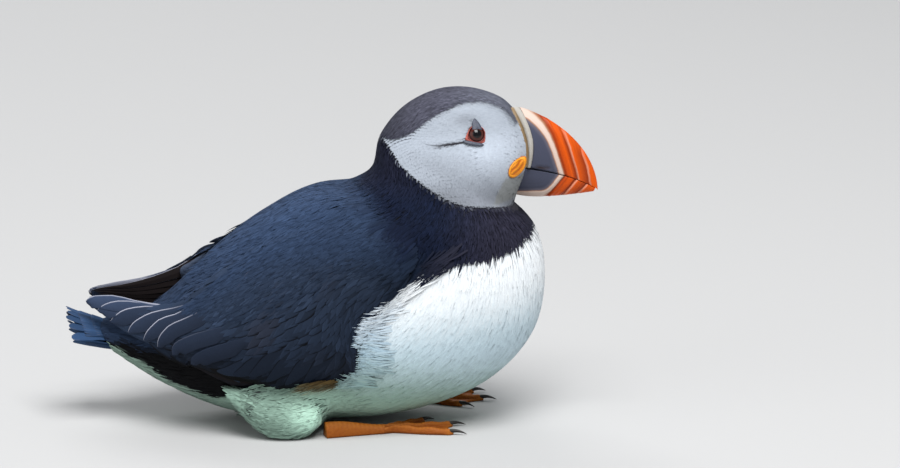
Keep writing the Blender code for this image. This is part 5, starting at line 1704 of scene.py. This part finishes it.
def footTable(root, side, left, toes):
    # Lines out from the toes' root: five over each toe, two in each web, each at seven steps, with their
    # heights, and how far each lies on a toe.
    look = footLook
    steps = linspace(0, 1, 7)
    spread = math.radians(look["toes"][-1][0] - look["toes"][0][0]) / 2
    lines, heights, onToe = [], [], []
    for i, (ahead, outward, length) in enumerate(toes):
        half = np.minimum(mix(*look["halfWidth"], steps), look["share"] * spread * steps * length)
        tall = mix(*look["height"], steps) - look["web"]
        for offset, share in ((-1.0, 0.05), (-0.7, 0.7), (0.0, 1.0), (0.7, 0.7), (1.0, 0.05)):
            reach = steps * length * (1 - 0.07 * offset**2)
            lines.append(root + ahead * reach[:, None] + outward * (offset * half)[:, None])
            heights.append(look["web"] + tall * share)
            onToe.append(share)
        if i + 1 < len(toes):
            nextAhead, _outward, nextLength = toes[i + 1]
            reach = steps * ((length + nextLength) / 2 - look["notch"] * steps**2)
            for share in (1 / 3, 2 / 3):
                lines.append(root + unit(mix(ahead, nextAhead, share)) * reach[:, None])
                heights.append(np.full(len(steps), look["web"]))
                onToe.append(0.0)
    plan, height = array(lines), array(heights)
    plan[:, 0] = root + left * side * linspace(-look["rootHalf"], look["rootHalf"], len(lines))[:, None]
    height[:, 0] = look["rootHeight"] * sin(pi * linspace(0.15, 0.85, len(lines)))
    return steps, join([plan, height[..., None]], -1), array(onToe)

def makeFoot(name):
    # Toes are ridges on one web over a flat sole, with cross scutes on them and fine creases on the
    # web that spread from the root.
    side, look = sides[name], footLook
    _heel, root, _length, axis, left = planLine(name)
    toes = []
    for angle, length in look["toes"]:
        turn = side * math.radians(angle)
        ahead = axis * math.cos(turn) + left * math.sin(turn)
        toes.append((ahead, array([-ahead[1], ahead[0]]) * side, length))
    steps, table, onToe = footTable(root, side, left, toes)
    count, (columns, rows) = len(table), look["fine"]
    across, along = linspace(0, count - 1, columns), linspace(0, 1, rows)
    knots = arange(count, dtype=float)
    full = array([[interp(along, steps, table[i, :, c]) for c in range(3)] for i in range(count)])
    full = curveThrough(knots, full.transpose(0, 2, 1).reshape(count, -1), across).reshape(columns, rows, 3)
    raised = held(interp(across, knots, onToe))[:, None]
    end = np.sqrt(held(1 - ((clip(along, 0.9, 1) - 0.9) / 0.1) ** 2))  # toes round off at the tip
    joints = 1 + 0.1 * cos(along * 2 * pi * 3) * smooth(along, 0.2, 0.4)
    tall = maximum(full[..., 2] * mix(1.0, joints, raised), 0.5) * mix(0.35, 1.0, end)
    distance = np.linalg.norm(full[..., :2] - root, axis=-1)
    scute = abs(sin(distance * pi / 1.5)) ** 0.5
    creases = sin(across * 11.0)[:, None] * sin(distance * 0.9) * (1 - raised)
    tall = tall + smooth(along, 0.05, 0.2)[None] * (0.22 * (scute - 0.6) * raised + 0.12 * creases)
    top, sole = (join([full[..., :2], z[..., None]], -1) for z in (tall, 0 * tall))
    mark = 0.22 + 0.55 * raised * scute + 0.15 * creases
    mark = mark + 0.35 * smooth(along, 0.93, 1.0)[None] * (1 - raised)
    slab("webbed_foot_" + name, (fleshes["footSkin"], "foot_skin", "foot_" + name), top, sole,
         {"raised": mark}, side < 0)
    for toe, line in zip(("inner", "middle", "outer"), toes):
        makeClaw(toe, name, root, line)

def makeClaw(toe, name, root, line):  # rings round a line that droops from a toe's end, drawn in to a point
    ahead, outward, length = line
    t, turn = gridOf(linspace(0, 1, 40), around(28))
    radius = footLook["clawRadius"] * (1 - 0.88 * t**1.3) * (1 - 0.12 * cos(turn) ** 2)
    reach = length - 1.6 + (footLook["claw"] + 1.9) * t
    flat = root + ahead * reach[..., None] + outward * (radius * cos(turn))[..., None]
    z = maximum(1.35 - 1.0 * t**2 + 0.4 * sin(pi * t) + radius * sin(turn), 0.05)
    closedLoft(f"nail_{toe}_{name}", (fleshes["clawHorn"], "claw", f"claw_{toe}_{name}"),
               join([flat, z[..., None]], -1), turned=sides[name] < 0)

def makeTarsus(name):
    # A round-topped bar on the ground with a row of broad scutes along its front and cells at its sides.
    heel, _root, length, ahead, left = planLine(name)
    u, turn = gridOf(linspace(0, 1, 64), linspace(0, pi, 36))
    along = footLook["tarsusFrom"] + (length - footLook["tarsusFrom"] + footLook["tarsusPast"]) * u
    aside = cos(turn) * 2.5 * (1 + 0.22 * (1 - u) ** 2)
    plan = heel + ahead * along[..., None] + left * aside[..., None]
    scute = abs(sin(along * pi / 1.9)) ** 0.5 * hump(turn, 1.9, 0.75)
    height = 0.6 + 5.4 * sin(turn) * mix(1.0, 0.5, smooth(u, 0.15, 1.0)) + 0.22 * scute * sin(turn)
    top, sole = (join([plan, h[..., None]], -1) for h in (height, 0 * height))
    slab("tarsus_skin_" + name, (fleshes["footSkin"], "foot_skin", "tarsus_" + name), top, sole,
         {"raised": 0.3 + 0.5 * scute})

for name in sides:
    makeFoot(name)
    makeTarsus(name)
print("feet ready")

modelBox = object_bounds()
sizes = {"cad": cadBox, "visual": modelBox}
{k: [[float(c) for c in corner] for corner in box] for k, box in sizes.items()}
print("cad", cadBox, "visual", modelBox)
